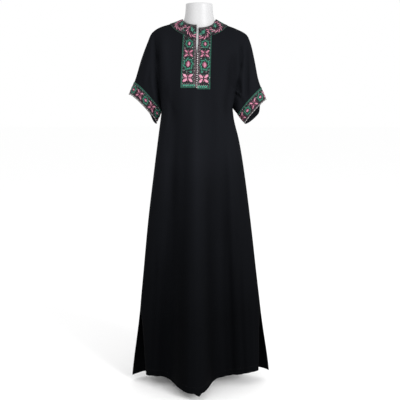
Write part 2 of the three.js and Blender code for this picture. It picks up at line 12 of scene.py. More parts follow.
import bmesh
import bpy
import numpy as np
from mathutils.bvhtree import BVHTree
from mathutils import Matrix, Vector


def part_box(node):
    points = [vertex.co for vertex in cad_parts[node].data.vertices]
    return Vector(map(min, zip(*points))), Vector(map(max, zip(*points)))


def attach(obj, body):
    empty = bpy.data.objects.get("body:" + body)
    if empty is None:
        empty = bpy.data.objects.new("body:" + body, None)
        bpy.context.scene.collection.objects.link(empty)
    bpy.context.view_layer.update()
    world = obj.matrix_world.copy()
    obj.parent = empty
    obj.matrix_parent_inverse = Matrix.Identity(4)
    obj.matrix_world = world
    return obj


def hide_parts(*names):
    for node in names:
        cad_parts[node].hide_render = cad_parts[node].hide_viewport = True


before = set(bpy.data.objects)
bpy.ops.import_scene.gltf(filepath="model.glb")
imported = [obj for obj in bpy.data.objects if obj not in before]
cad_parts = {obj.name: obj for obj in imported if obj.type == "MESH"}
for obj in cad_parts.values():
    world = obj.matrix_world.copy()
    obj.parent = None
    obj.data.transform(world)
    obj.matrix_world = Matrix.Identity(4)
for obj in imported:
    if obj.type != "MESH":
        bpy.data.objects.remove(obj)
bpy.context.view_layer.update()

MM = 0.001
QUARTER = math.pi / 2
rng = np.random.default_rng(7)

# ---------- sizes of the cut, as in the solids but for a few
SEAM_GAP = 0.06  # between the two panels
NECK_CENTRE, NECK_Z = -1.5, 1472
NECK_CORNER = 4  # how far the neckline turns up at the shoulder seam
SHOULDER_ROUND = 90  # how far down the shoulder seam's rounding goes
FOOT_BLEND = 0.85  # where down the yoke it starts to meet the skirt
SIDE_HOLD = 6  # how late towards the side seam the folds die out
HEM_SWEEP = 0.8  # across: where the hem reaches its height at the side
NECK_LIFT_POWER, NECK_CORNER_POWER = 0.7, 6  # how the neckline's lift fades, how late its corner turns up
SLEEVE_ROUNDING, SLEEVE_FIT = 0.5, 0.3  # steps down which the shoulder's rounding and the armhole's fit fade
RING_POWER, SLEEVE_POWER = 0.55, 0.8  # how square the body's section and a sleeve's are; lower is squarer
ARM_POWER = 3  # how late towards the side the armhole's depth comes in
NECK_SHARE = 5 / 12  # share of the panel's top that is neckline
CUFF_SHARE = 4 / 6  # share of the sleeve's steps above the cuff
CUFF_WIDTH = 46
COLLAR_HALF, COLLAR_Z = 117, 1480  # half-width and height of the ellipse that is the collar's outer edge
PLACKET_HALF = {-1: (54, 58), 1: (55, 54)}  # top, bottom
PLACKET_TOP, PLACKET_BOTTOM = 1412, {-1: 1211, 1: 1206}
COLLAR_FOOT = 1390  # height where the collar starts beside the slit
COLLAR_DIP = 20, 52  # how far from the middle the collar's dip starts to fade, and ends
SLIT_OPEN, SLIT_CLOSED = 8.4, 0.8  # widths
SLIT_CLOSED_BELOW, SLIT_OPEN_ABOVE, SLIT_END = 1314, 1384, 8 / 12  # heights, and a share of the yoke
SLIT_FADE = 1 / 12  # across: how far from the slit the cloth gives way to it
SIDE_SLIT_TOP, SIDE_SLIT_POWER = 345, 5
RIDGE = {-1: 84, 1: 70}  # half-widths of the middle fold on each side of its crest
RIDGE_POWER = 4  # a flat top and steep sides

# Each side's overarm seam from the neck to the cuff, seen from the front.
RIGHT = {
    "sign": -1,
    "overarm": [
        (-65, 1476), (-112, 1459), (-158, 1444), (-185, 1424),
        (-202, 1388), (-228, 1322), (-252, 1246), (-277, 1187),
    ],
    "armpit": 1128,
    "cuff_under": (-174, 1074),
    "slit_inset": 69,
}
LEFT = {
    "sign": 1,
    "overarm": [
        (62, 1476), (100, 1456), (142, 1440), (182, 1418),
        (197, 1388), (214, 1322), (232, 1240), (262, 1167),
    ],
    "armpit": 1137,
    "cuff_under": (181, 1075),
    "slit_inset": 56,
}
SHOULDER_TIP = 3  # which of the overarm's points is the shoulder's tip
SLEEVE_FULLNESS = 8  # how much deeper the sleeve is halfway down

# Body and skirt: height, reach to the right and left, depths of the flank, middle fold and back, and
# how square the back is.
SECTIONS = [
    (1140, 146, 128, 131, 0, 106, 0.55),
    (1088, 153, 135, 128, 4, 105, 0.55),
    (1009, 164, 155, 119, 14, 107, 0.56),
    (890, 180, 176, 103, 34, 112, 0.6),
    (687, 206, 204, 82, 70, 120, 0.68),
    (440, 231, 234, 65, 104, 130, 0.82),
    (271, 249, 256, 56, 122, 138, 0.94),
    (101, 273, 283, 48, 138, 146, 1),
    (30, 282, 292, 45, 143, 149, 1),
]
FRONT_MIDDLE = [(1472, -7), (1439, -8), (1209, -14), (30, -20)]  # z, x
CHEST = [  # z, depth
    (1472, 44), (1439, 62), (1400, 84), (1350, 104),
    (1300, 118), (1250, 127), (1208, 131), (1128, 131),
]
UPPER_BACK = [(1472, 42), (1460, 50), (1400, 84), (1330, 102), (1250, 107), (1128, 106)]

# Folds: the line's two ends (x1, z1, x2, z2), half-width, run-out past the ends, and how far out.
FRONT_FOLDS = [
    (-92, 1225, -92, 1200, 52, 85, 17),  # bust
    (66, 1225, 66, 1200, 52, 85, 17),
    (-150, 900, -205, 40, 34, 260, 9),  # flanks
    (140, 900, 190, 40, 34, 260, 10),
    (-110, 700, -150, 40, 30, 240, -9),
    (80, 640, 104, 40, 30, 240, -10),
    (-168, 1390, -152, 1170, 16, 40, -9),  # armholes
    (162, 1350, 180, 1200, 13, 40, -7),
    (134, 1270, 130, 1180, 24, 40, -8),
]
BACK_FOLDS = [
    (-80, 1330, -80, 1300, 50, 90, 9),  # shoulder blades
    (80, 1330, 80, 1300, 50, 90, 9),
    (-95, 980, -150, 40, 44, 330, 24),  # flutes of the skirt
    (88, 1000, 142, 40, 44, 330, 26),
    (-40, 660, -62, 40, 38, 220, -26),
    (36, 640, 60, 40, 38, 220, -24),
    (0, 900, -2, 40, 36, 300, 16),
]
# Creases that only the cloth has: soft, shallow and uneven.
FRONT_CREASES = [
    (-172, 1408, -160, 1330, 8, 22, -7),  # down from the right shoulder
    (-162, 1340, -150, 1190, 9, 40, -9),
    (-186, 1380, -178, 1250, 10, 40, 4),
    (-198, 1300, -214, 1230, 9, 30, 4),
    (-184, 1240, -170, 1150, 8, 30, 5),
    (-222, 1230, -196, 1160, 7, 20, -4),
    (-132, 1380, -128, 1270, 16, 50, 5),
    (158, 1372, 158, 1300, 7, 20, -7),  # down from the left shoulder
    (184, 1340, 184, 1200, 8, 30, -8),
    (170, 1330, 166, 1210, 7, 30, 4),
    (206, 1290, 214, 1210, 8, 25, 4),
    (122, 1212, 162, 1184, 6, 9, 7),  # curved crease at the left armpit
    (136, 1196, 160, 1172, 7, 9, -5),
    (118, 1260, 104, 1150, 13, 34, -8),
    (128, 1320, 132, 1225, 20, 26, -10),
    (150, 1230, 172, 1140, 8, 20, -5),
    (-128, 1190, -100, 1120, 12, 35, -5),
    (-104, 1150, -126, 1000, 11, 60, -4),
    (98, 1150, 124, 960, 11, 60, -4),
    (-88, 1110, -100, 860, 20, 120, -8),  # from the bust into the skirt
    (50, 1110, 56, 840, 15, 120, -4),
    (-15, 1100, -12, 60, 21, 150, 9),
    (-120, 1050, -140, 640, 14, 140, 4),
    (112, 1040, 128, 600, 12, 140, 4),
    (140, 1010, 160, 860, 9, 80, -4),
    (-62, 900, -74, 60, 20, 180, -11),  # either side of the middle fold
    (36, 760, 48, 60, 15, 180, -10),
    (-116, 640, -132, 60, 12, 150, 6),
    (78, 560, 92, 60, 11, 130, 6),
    (-174, 480, -196, 40, 10, 110, -6),
    (120, 460, 136, 50, 10, 120, -6),
    (164, 420, 184, 50, 9, 110, -5),
    (-38, 420, -42, 60, 8, 100, 3),
    (8, 360, 14, 60, 8, 90, 3),
    (214, 300, 226, 60, 8, 90, 4),
    (-236, 330, -246, 60, 7, 90, 4),
]
BACK_CREASES = [
    (-172, 1390, -156, 1230, 8, 35, -7),
    (174, 1380, 156, 1210, 8, 35, -7),
    (-196, 1290, -214, 1220, 8, 25, 4),
    (206, 1290, 218, 1210, 8, 25, 4),
    (-116, 1370, -110, 1250, 15, 50, 4),
    (118, 1370, 112, 1250, 15, 50, 4),
    (-112, 1240, -96, 1130, 11, 35, -6),
    (110, 1230, 96, 1120, 10, 35, -6),
    (-34, 1306, 30, 1300, 8, 10, -3),
    (-26, 1276, 34, 1282, 7, 8, 2.5),
    (-40, 1180, -52, 900, 14, 120, -7),
    (44, 1160, 56, 860, 13, 120, -7),
    (4, 1120, 0, 60, 20, 150, 7),
    (-124, 820, -172, 60, 13, 140, 8),
    (112, 800, 168, 60, 12, 140, 9),
    (-196, 560, -226, 40, 11, 120, -8),
    (190, 520, 222, 40, 11, 120, -8),
    (-112, 600, -128, 40, 12, 130, -8),
    (104, 560, 122, 40, 12, 130, -7),
    (28, 620, 32, 40, 9, 130, -5),
    (-32, 560, -36, 40, 9, 130, -4),
]
# cuff_shift: how far the cuff's edge is moved down the sleeve near the overarm and near the underarm,
# and where along it (0 overarm, 1 underarm) the one gives way to the other.
PANELS = {  # the front's and the back's
    "face": (-1, 1),
    "neck_drop": (33, 12),
    "neck_lift": ({-1: 11, 1: 0}, {-1: 0, 1: 0}),
    "neck_depth": (62, 50),
    "upper": (CHEST, UPPER_BACK),
    "armhole": (66, 60),
    "sleeve": (42, 40),
    "cuff_shift": (
        {-1: (-14, -20, 0.6, 0.85), 1: (-8, -8, 0.22, 0.5)},
        {-1: (-8, 4, 0.6, 0.85), 1: (-12, 17, 0.22, 0.5)},
    ),
    "hem": ({-1: 47, 1: 64, 0: 34}, {-1: 20, 1: 42, 0: 32}),
    "slit_shift": (14, 45),
    "collar_drop": (79, 74),
    "collar_dip": (10, 0),
    "folds": (FRONT_FOLDS + FRONT_CREASES, BACK_FOLDS + BACK_CREASES),
    "creases": (FRONT_CREASES, BACK_CREASES),
}
FRONT, BACK = ({key: pair[i] for key, pair in PANELS.items()} for i in (0, 1))

# ---------- sizes that only the looks have
CLOTH = 1.2  # wall
WELD_PER_MM = 50  # grids join where their corners agree to 1/50 mm
BAND_LIFT, BAND = 0.9, 0.9  # band's underside over the cloth's middle, and its wall
BAND_INSET = 0.9  # band's edge in from the slit's
COLLAR_LIFT = BAND_LIFT + 0.35  # the collar lies over the placket's top
COLLAR_PARTING = 1 / 5  # share of the collar that leans away from the slit
THREAD_SUNK = 0.15  # threads are sunk this far into the cloth
THREAD_LIFT = BAND_LIFT + BAND - THREAD_SUNK
STRAND, STEM_STITCH = 1.5, 3.0  # pitch of a satin stitch's strands, and of a stem stitch
OVER_FROM, OVER_TO, OVER_WIDTH = 0.12, 0.93, 0.54  # a light satin shape's share of the dark one under it
LEAF_WIDTH, LEAF_ROOT, LEAF_TIP = 0.66, 0.76, 1.16  # to a leaf's length, and to its wreath's radius
LEAF_UNEVEN = -0.08, 0.1  # every second leaf of a wreath lies a little further out
FORM_CLEAR = 1.1  # least from the form to the middle of the cloth
HEM_TIP = {"x": -4, "half": 11, "drop": 15, "from": 0.975}  # turned corner of cloth below the front hem
STITCH_IN, SKIRT_DROP = 24, 1090  # height of the stitching above the hem, and the skirt's length
HEM_LIFT = CLOTH / 2 - THREAD_SUNK

# Painted shade on the crepe: its black is read by height, lighter at the shoulders and darker down to the
# hem, at the stops below; a noise shifts each point's height a little.
CREPE_DRIFT, CREPE_HEIGHT = 0.3, 1.5  # metres: unevenness of the black's height, and the garment's height
CREPE_SHADE_STOPS = (0.29, 0.57, 0.75)
FOLD_FULL, FOLD_SHADE_SHARE = 10, 0.2  # a crease this high changes the black by this share: painted shade in a trough, painted highlight on a crest


# ---------- curves and shape functions
def lerp(a, b, t):
    return a + (b - a) * t


def smoothstep(x, low, high):
    t = np.clip((x - low) / (high - low), 0, 1)
    return t * t * (3 - 2 * t)


def lengths(points):
    """Lengths along a line of points, from its start."""
    return np.concatenate([[0], np.cumsum(np.linalg.norm(np.diff(points, axis=0), axis=1))])


def unit(vectors):
    return vectors / np.maximum(np.linalg.norm(vectors, axis=-1), 1e-9)[..., None]


def arch(t):
    """0 at both ends of a line and 1 halfway."""
    return np.maximum(np.sin(math.pi * t), 0)


def column(rows, at=1):
    """A smooth value of one column of a table, read at a height."""
    rows = sorted(rows)
    z = np.array([row[0] for row in rows], float)
    v = np.array([row[at] for row in rows], float)
    last = len(z) - 1
    low, high = np.maximum(np.arange(last + 1) - 1, 0), np.minimum(np.arange(last + 1) + 1, last)
    slope = (v[high] - v[low]) / (z[high] - z[low])

    def value(height):
        held = np.clip(height, z[0], z[-1])
        i = np.clip(np.searchsorted(z, held), 1, last) - 1
        span = z[i + 1] - z[i]
        t = (held - z[i]) / span
        chord = (v[i + 1] - v[i]) / span
        bend = t * (1 - t) * span
        return lerp(v[i], v[i + 1], t) + bend * ((1 - t) * (slope[i] - chord) - t * (slope[i + 1] - chord))

    return value


reach = {-1: column(SECTIONS, 1), 1: column(SECTIONS, 2)}
flank_depth, ridge_depth = column(SECTIONS, 3), column(SECTIONS, 4)
back_depth, back_square = column(SECTIONS, 5), column(SECTIONS, 6)
front_middle = column(FRONT_MIDDLE)
for panel in (FRONT, BACK):
    panel["chest"] = column(panel["upper"])


def centripetal(points, per=60):
    """Points along a centripetal Catmull-Rom curve, with their lengths from its start."""
    p = np.array(points, float)
    p = np.vstack([2 * p[0] - p[1], p, 2 * p[-1] - p[-2]])
    out = []
    for i in range(1, len(p) - 2):
        a, b, c, d = p[i - 1 : i + 3]
        da, db, dc = (np.linalg.norm(v) ** 0.5 for v in (b - a, c - b, d - c))
        m1 = ((b - a) / da - (c - a) / (da + db) + (c - b) / db) * db
        m2 = ((c - b) / db - (d - b) / (db + dc) + (d - c) / dc) * db
        for t in np.arange(per) / per:
            out.append(
                (2 * t**3 - 3 * t**2 + 1) * b
                + (t**3 - 2 * t**2 + t) * m1
                + (3 * t**2 - 2 * t**3) * c
                + (t**3 - t**2) * m2
            )
    out = np.array(out + [p[-2]])
    return out, lengths(out)


for side in (RIGHT, LEFT):
    line, length = centripetal(side["overarm"])
    tip = length[round(SHOULDER_TIP / (len(side["overarm"]) - 1) * (len(length) - 1))]
    side["line"], side["length"], side["tip"] = line, length, tip
    side["over_length"] = length[-1] - tip
    armpit = np.array([side["sign"] * reach[side["sign"]](side["armpit"]), side["armpit"]])
    side["armpit_point"] = armpit
    side["underarm"] = np.array(side["cuff_under"], float) - armpit


def on_overarm(side, mm):
    """x and z of the overarm seam, so many millimetres from the neck."""
    return tuple(np.interp(mm, side["length"], side["line"][:, i]) for i in (0, 1))


def folds_out(panel, across, x, z, at_side=0.0):
    """How far a panel's folds push it out; at_side is the share that is left at the side seam."""
    out = 0
    for x1, z1, x2, z2, half, run_out, height in panel["folds"]:
        share = np.clip((z1 - z) / max(z1 - z2, 1), 0, 1)
        away = (x - lerp(x1, x2, share)) / half
        past = np.maximum(np.maximum(z - z1, z2 - z), 0) / run_out
        out = out + height * np.exp(-(away**2) - past**2)
    return lerp(1, at_side, across**SIDE_HOLD) * out


def ridge_out(panel, x, z):
    """How far the middle fold stands out."""
    if panel is BACK:
        return 0
    away = x - front_middle(z)
    half = np.where(away < 0, RIDGE[-1], RIDGE[1])
    return ridge_depth(z) * np.exp(-((np.abs(away) / half) ** RIDGE_POWER))


def rounded(across, power):
    return np.maximum(np.cos(across * QUARTER), 0) ** power


def skirt(panel, side, across, down):
    """x, depth and z of the skirt; down is 0 at the armpit level and 1 at the hem."""
    sign = side["sign"]
    top = lerp((RIGHT["armpit"] + LEFT["armpit"]) / 2, side["armpit"], across)
    hem = lerp(panel["hem"][0], panel["hem"][sign], smoothstep(across, 0, HEM_SWEEP))
    z = lerp(top, hem, down)
    slit = np.clip((SIDE_SLIT_TOP - z) / SIDE_SLIT_TOP, 0, 1)
    inset = side["slit_inset"] * slit if panel is FRONT else 0
    middle = front_middle(z) if panel is FRONT else 0 * z
    x = middle + (sign * (reach[sign](z) - inset) - middle) * np.sin(across * QUARTER)
    base = flank_depth(z) if panel is FRONT else back_depth(z)
    square = RING_POWER if panel is FRONT else back_square(z)
    depth = (
        base * rounded(across, square)
        + ridge_out(panel, x, z)
        + folds_out(panel, across, x, z)
        + panel["slit_shift"] * slit * across**SIDE_SLIT_POWER
    )
    if panel is FRONT:
        away = np.abs(x - HEM_TIP["x"]) / HEM_TIP["half"]
        z = z - HEM_TIP["drop"] * np.maximum(1 - away, 0) * smoothstep(down, HEM_TIP["from"], 1)
    return x, depth, z


def neckline(panel, side, share):
    """Neckline from its middle (0) to the shoulder seam (1)."""
    start = front_middle(NECK_Z) if panel is FRONT else NECK_CENTRE
    end = side["overarm"][0][0]
    x = lerp(start, end, np.sin(share * QUARTER))
    opened = np.sqrt(np.maximum(1 - ((x - NECK_CENTRE) / abs(end - NECK_CENTRE)) ** 2, 0))
    lift = panel["neck_lift"][side["sign"]] * np.maximum(1 - share, 0) ** NECK_LIFT_POWER
    lift = lift + NECK_CORNER * share**NECK_CORNER_POWER
    return x, panel["neck_depth"] * opened, NECK_Z - panel["neck_drop"] * opened + lift


def slit_width(z, t):
    """Width of the neck slit at a height and a share of the yoke."""
    width = lerp(SLIT_CLOSED, SLIT_OPEN, smoothstep(z, SLIT_CLOSED_BELOW, SLIT_OPEN_ABOVE))
    return width * np.clip((SLIT_END - t) / SLIT_FADE, 0, 1)


def row_share(t):
    """Rows lie closer together at both ends."""
    return (1 - np.cos(math.pi * t)) / 2


def armhole(panel, t):
    return panel["armhole"] * arch(t) ** SLEEVE_POWER


def hold(t):
    """Share of the folds that is left on the armhole line; its seams stay in line."""
    return np.sqrt(arch(t))


def yoke(panel, side, across, t):
    """x, depth and z of the yoke; t is 0 at the shoulder seam and 1 at the armpit level."""
    nx, nd, nz = neckline(panel, side, np.minimum(across / NECK_SHARE, 1))
    sx, sz = on_overarm(side, np.clip((across - NECK_SHARE) / (1 - NECK_SHARE), 0, 1) * side["tip"])
    on_neck = across < NECK_SHARE
    top_x, top_d, top_z = np.where(on_neck, nx, sx), np.where(on_neck, nd, 0), np.where(on_neck, nz, sz)
    foot_x, foot_d, foot_z = skirt(panel, side, across, 0 * t)
    share = row_share(t)
    x, z = lerp(top_x, foot_x, share), lerp(top_z, foot_z, share)
    round_ = rounded(across, RING_POWER)
    below = np.clip((top_z - z) / SHOULDER_ROUND, 0, 1)
    rounding = 1 - np.sqrt(1 - (1 - below) ** 2)
    chest = panel["chest"]
    arm = armhole(panel, t) * np.sin(across * QUARTER) ** ARM_POWER
    depth = (
        np.hypot(chest(z) * round_, arm)
        + (top_d - chest(top_z) * round_) * rounding
        + folds_out(panel, across, x, z, hold(t)) * (1 - rounding)
    )
    at_foot = chest(foot_z) * round_ + folds_out(panel, across, foot_x, foot_z)
    depth = depth + (foot_d - at_foot) * smoothstep(t, FOOT_BLEND, 1)
    if panel is FRONT:
        near = np.maximum(1 - across / SLIT_FADE, 0)
        x = x + side["sign"] * slit_width(z, t) / 2 * near
    return x, depth, z


def along_sleeve(step, length):
    """Millimetres down a sleeve's seam, with even steps above the cuff and along it."""
    upper = step / CUFF_SHARE * (length - CUFF_WIDTH)
    cuff = length - CUFF_WIDTH * (1 - step) / (1 - CUFF_SHARE)
    return np.where(step < CUFF_SHARE, upper, cuff)


def sleeve(panel, side, step, t):
    """x, depth and z of the sleeve; step is 0 at the armhole line and 1 at the cuff's edge."""
    sign = side["sign"]
    ox, oz = on_overarm(side, side["tip"] + along_sleeve(step, side["over_length"]))
    under_length = np.linalg.norm(side["underarm"])
    share_down = along_sleeve(step, under_length) / under_length
    ux = side["armpit_point"][0] + side["underarm"][0] * share_down
    uz = side["armpit_point"][1] + side["underarm"][1] * share_down
    share, swell = row_share(t), arch(t)
    x, z = lerp(ox, ux, share), lerp(oz, uz, share)
    size = np.hypot(ox - ux, oz - uz)
    at_over, at_under, low, high = panel["cuff_shift"][sign]
    shift = lerp(at_over, at_under, smoothstep(t, low, high)) * swell * smoothstep(step, 0, CUFF_SHARE)
    x = x + (oz - uz) / size * sign * shift
    z = z - (ox - ux) / size * sign * shift
    deep = lerp(panel["armhole"], panel["sleeve"], smoothstep(step, 0, 1))
    deep = deep + SLEEVE_FULLNESS * np.sin(math.pi * step) ** 2
    below = np.clip((oz - z) / SHOULDER_ROUND, 0, 1)
    rounding = (1 - np.sqrt(1 - (1 - below) ** 2)) * (1 - smoothstep(step, 0, SLEEVE_ROUNDING))
    folds = folds_out(panel, 1, x, z, hold(t)) * (1 - step**2) * (1 - rounding)
    return x, deep * swell**SLEEVE_POWER + folds, z


# ---------- from points to meshes
def place(panel, shape, at_seam):
    """Points of a grid on a panel, kept half a seam's gap from the other panel."""
    x, depth, z = np.broadcast_arrays(*shape)
    least = np.where(at_seam, SEAM_GAP / 2, 0)
    return np.stack([x, panel["face"] * np.maximum(depth, least), z], -1)


def quads_of(rows, cols, start=0, closed=False, flipped=False):
    """Quads of a grid of corners; a closed one also joins its last column to its first."""
    index = np.arange(rows * cols).reshape(rows, cols) + start
    if closed:
        index = np.concatenate([index, index[:, :1]], 1)
    a, b, c, d = index[:-1, :-1], index[1:, :-1], index[1:, 1:], index[:-1, 1:]
    return np.stack([a, d, c, b] if flipped else [a, b, c, d], -1).reshape(-1, 4)


def facings(points, quads):
    """Normals of quads, as long as twice their areas."""
    corner = points[quads]
    return np.cross(corner[:, 2] - corner[:, 0], corner[:, 3] - corner[:, 1])


def weld(grids):
    """One sheet from grids, each (points, seam mask, way out): its points, quads and normals."""
    points, seams, quads, start = [], [], [], 0
    for grid, seam, outward in grids:
        flat, quad = grid.reshape(-1, 3), quads_of(*grid.shape[:2])
        facing = facings(flat, quad).sum(0) @ outward
        quads.append((quad if facing > 0 else quad[:, ::-1]) + start)
        points.append(flat)
        seams.append(seam.reshape(-1))
        start += len(flat)
    points, seams, quads = np.vstack(points), np.concatenate(seams), np.vstack(quads)
    cells = np.round(points * WELD_PER_MM).astype(int)
    _, first, to = np.unique(cells, axis=0, return_index=True, return_inverse=True)
    to = to.reshape(-1)
    seam = np.zeros(len(first), bool)
    np.logical_or.at(seam, to, seams)
    quads = to[quads]
    whole = np.array([len(set(q)) == 4 for q in quads.tolist()])
    points, quads = points[first], quads[whole]
    return points, quads, normals_of(points, quads, seam)


def normals_of(points, quads, seam):
    """Normals at the corners; at a seam they stay in its plane."""
    facing, normals = facings(points, quads), np.zeros_like(points)
    for i in range(4):
        np.add.at(normals, quads[:, i], facing)
    normals[seam, 1] = 0
    return unit(normals)


def shell(points, quads, normals, inner, outer):
    """Closed wall between two distances out from a sheet."""
    count = len(points)
    corners = np.vstack([points + normals * outer, points + normals * inner])
    faces = quads.tolist() + (quads[:, ::-1] + count).tolist()
    edges = {(q[i], q[(i + 1) % 4]) for q in quads.tolist() for i in range(4)}
    faces += [[b, a, a + count, b + count] for a, b in sorted(edges) if (b, a) not in edges]
    return corners, faces


def add_object(name, data):
    made = bpy.data.objects.new(name, data)
    bpy.context.scene.collection.objects.link(made)
    return made


def new_piece(name, corners, faces, materials, face_materials=None, sharp=40):
    """A smooth mesh object from millimetres, riding on the root."""
    mesh = bpy.data.meshes.new(name)
    mesh.from_pydata((np.asarray(corners) * MM).tolist(), [], faces)
    for material in materials:
        mesh.materials.append(material)
    if face_materials is not None:
        mesh.polygons.foreach_set("material_index", face_materials)
    mesh.polygons.foreach_set("use_smooth", [True] * len(mesh.polygons))
    mesh.set_sharp_from_angle(angle=math.radians(sharp))
    piece = add_object(name, mesh)
    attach(piece, "root")
    return piece


# ---------- materials
def shader(name, colour, roughness, **inputs):
    material = bpy.data.materials.new(name)
    material.use_nodes = True
    tree = material.node_tree
    surface = tree.nodes["Principled BSDF"]
    surface.inputs["Base Color"].default_value = (*colour, 1)
    surface.inputs["Roughness"].default_value = roughness
    for key, value in inputs.items():
        surface.inputs[key.replace("_", " ")].default_value = value
    return material, tree, surface


def node(tree, kind, *values, **settings):
    """A node with inputs given in order or by name, each a number or the socket that feeds it."""
    made = tree.nodes.new("ShaderNode" + kind)
    for key, value in [*enumerate(values), *settings.items()]:
        if isinstance(key, str) and key not in made.inputs:
            setattr(made, key, value)
        elif isinstance(value, bpy.types.NodeSocket):
            tree.links.new(value, made.inputs[key])
        else:
            made.inputs[key].default_value = value
    return made


def object_place(tree):
    """Where a point lies on its object, in metres."""
    return node(tree, "TexCoord").outputs["Object"]


def ramp(tree, factor, *stops):
    """A colour between stops, each a place and a colour."""
    made = node(tree, "ValToRGB", factor)
    elements = made.color_ramp.elements
    for at, _ in stops[1:-1]:
        elements.new(at)
    for element, (at, colour) in zip(elements, stops):
        element.position, element.color = at, (*colour, 1)
    return made.outputs["Color"]


def dress(tree, surface, colour, height, strength, distance):
    """Gives a surface its colour, and a height as bumps."""
    tree.links.new(colour, surface.inputs["Base Color"])
    made = node(tree, "Bump", Strength=strength, Distance=distance, Height=height)
    tree.links.new(made.outputs["Normal"], surface.inputs["Normal"])


def crepe(name, low, middle, high):
    """Pebbled crepe: a fine crinkled grain, and a black with painted shade: darker down the skirt towards the
    hem, darker in the creases' troughs and lighter on their crests.
    """
    material, tree, surface = shader(name, high, 0.8, Specular_IOR_Level=0.01)
    where = object_place(tree)
    height = node(tree, "SeparateXYZ", where).outputs["Z"]
    tone = node(tree, "TexNoise", where, Scale=5.0, Detail=3.0).outputs["Fac"]
    # painted shade: lighter high up, darker towards the hem
    drift = node(tree, "Math", tone, CREPE_DRIFT, height, operation="MULTIPLY_ADD").outputs[0]
    share = node(tree, "Math", drift, 1 / CREPE_HEIGHT, operation="MULTIPLY").outputs[0]
    black = ramp(tree, share, *zip(CREPE_SHADE_STOPS, (low, middle, high)))
    # painted shade in the creases' troughs and painted highlight on their crests
    fold = node(tree, "Attribute", attribute_name="painted_fold_shade").outputs["Fac"]
    fold_shade_factor = node(tree, "Math", fold, FOLD_SHADE_SHARE, 1.0, operation="MULTIPLY_ADD").outputs[0]
    shaded = node(tree, "VectorMath", black, operation="SCALE", Scale=fold_shade_factor)
    grain = node(tree, "TexNoise", where, Scale=900.0, Detail=2.0).outputs["Fac"]
    crinkle = node(tree, "TexVoronoi", where, Scale=620.0).outputs["Distance"]
    both = node(tree, "Math", grain, crinkle, operation="ADD").outputs[0]
    dress(tree, surface, shaded.outputs[0], both, 0.35, 0.0004)
    return material


def paint_fold_shade(piece, panel, points):
    """Keeps at each corner of the cloth how far its creases push it in or out, for the crepe's painted shade
    in their troughs and painted highlight on their crests.
    """
    across = np.zeros(len(points))
    creased = {"folds": panel["creases"]}
    height = folds_out(creased, across, points[:, 0], points[:, 2])
    tone = piece.data.attributes.new("painted_fold_shade", "FLOAT", "POINT")
    tone.data.foreach_set("value", np.clip(np.tile(height, 2) / FOLD_FULL, -1, 1))


def stitched_ground(name, stitch, black):
    """Black band worked all over with tiny muted stitches."""
    material, tree, surface = shader(name, black, 0.8, Specular_IOR_Level=0.15)
    cells = node(tree, "TexVoronoi", object_place(tree), Scale=430.0).outputs["Distance"]
    dress(tree, surface, ramp(tree, cells, (0.1, stitch), (0.42, black)), cells, 0.5, 0.0005)
    return material


def thread(name, low, high):
    """Twisted cotton thread with a slight gloss, its dye a little uneven."""
    material, tree, surface = shader(name, high, 0.5, Specular_IOR_Level=0.25)
    where = object_place(tree)
    dye = node(tree, "TexNoise", where, Scale=260.0, Detail=2.0).outputs["Fac"]
    ply = node(tree, "TexNoise", where, Scale=1800.0, Detail=1.0).outputs["Fac"]
    dress(tree, surface, ramp(tree, dye, (0.3, low), (0.7, high)), ply, 0.3, 0.0003)
    return material


def painted(name, colour, roughness, peel_scale, **inputs):
    """Painted or moulded surface: a faint unevenness of tone and a very fine orange peel."""
    material, tree, surface = shader(name, colour, roughness, **inputs)
    peel = node(tree, "TexNoise", object_place(tree), Scale=peel_scale, Detail=2.0).outputs["Fac"]
    shade = tuple(c * 0.97 for c in colour)
    dress(tree, surface, ramp(tree, peel, (0.3, shade), (0.7, colour)), peel, 0.08, 0.0004)
    return material


# The crepe's painted shade: its black low on the skirt, halfway and high up.
BLACK_CREPE = crepe(
    "black_crepe", (0.002, 0.0022, 0.0027), (0.0037, 0.004, 0.005), (0.0058, 0.0063, 0.0079)
)
HEM_THREAD = thread("hem_thread", (0.002, 0.002, 0.0025), (0.007, 0.007, 0.008))
GROUND = stitched_ground("band_ground", (0.07, 0.04, 0.05), (0.006, 0.006, 0.008))
THREADS = {
    "pink": thread("pink_thread", (0.36, 0.11, 0.18), (0.58, 0.27, 0.36)),
    "blush": thread("blush_thread", (0.38, 0.14, 0.21), (0.62, 0.32, 0.4)),
    "rose": thread("rose_thread", (0.16, 0.035, 0.07), (0.3, 0.09, 0.145)),
    "green": thread("green_thread", (0.014, 0.13, 0.085), (0.05, 0.24, 0.165)),
    "dark": thread("dark_green_thread", (0.0008, 0.024, 0.0145), (0.003, 0.066, 0.04)),
    "mauve": thread("mauve_thread", (0.045, 0.027, 0.033), (0.16, 0.1, 0.12)),
    "white": thread("white_thread", (0.4, 0.38, 0.38), (0.7, 0.68, 0.67)),
}
THREAD_NAMES = list(THREADS)
FORM_WHITE = painted("form_white", (0.43, 0.43, 0.435), 0.4, 140.0)
STAND_WHITE = painted("stand_white", (0.6, 0.6, 0.605), 0.35, 500.0, Coat_Weight=0.2)

# ---------- the two panels of cloth
COLS, YOKE_ROWS, SKIRT_ROWS, SLEEVE_STEPS = 44, 44, 96, 28


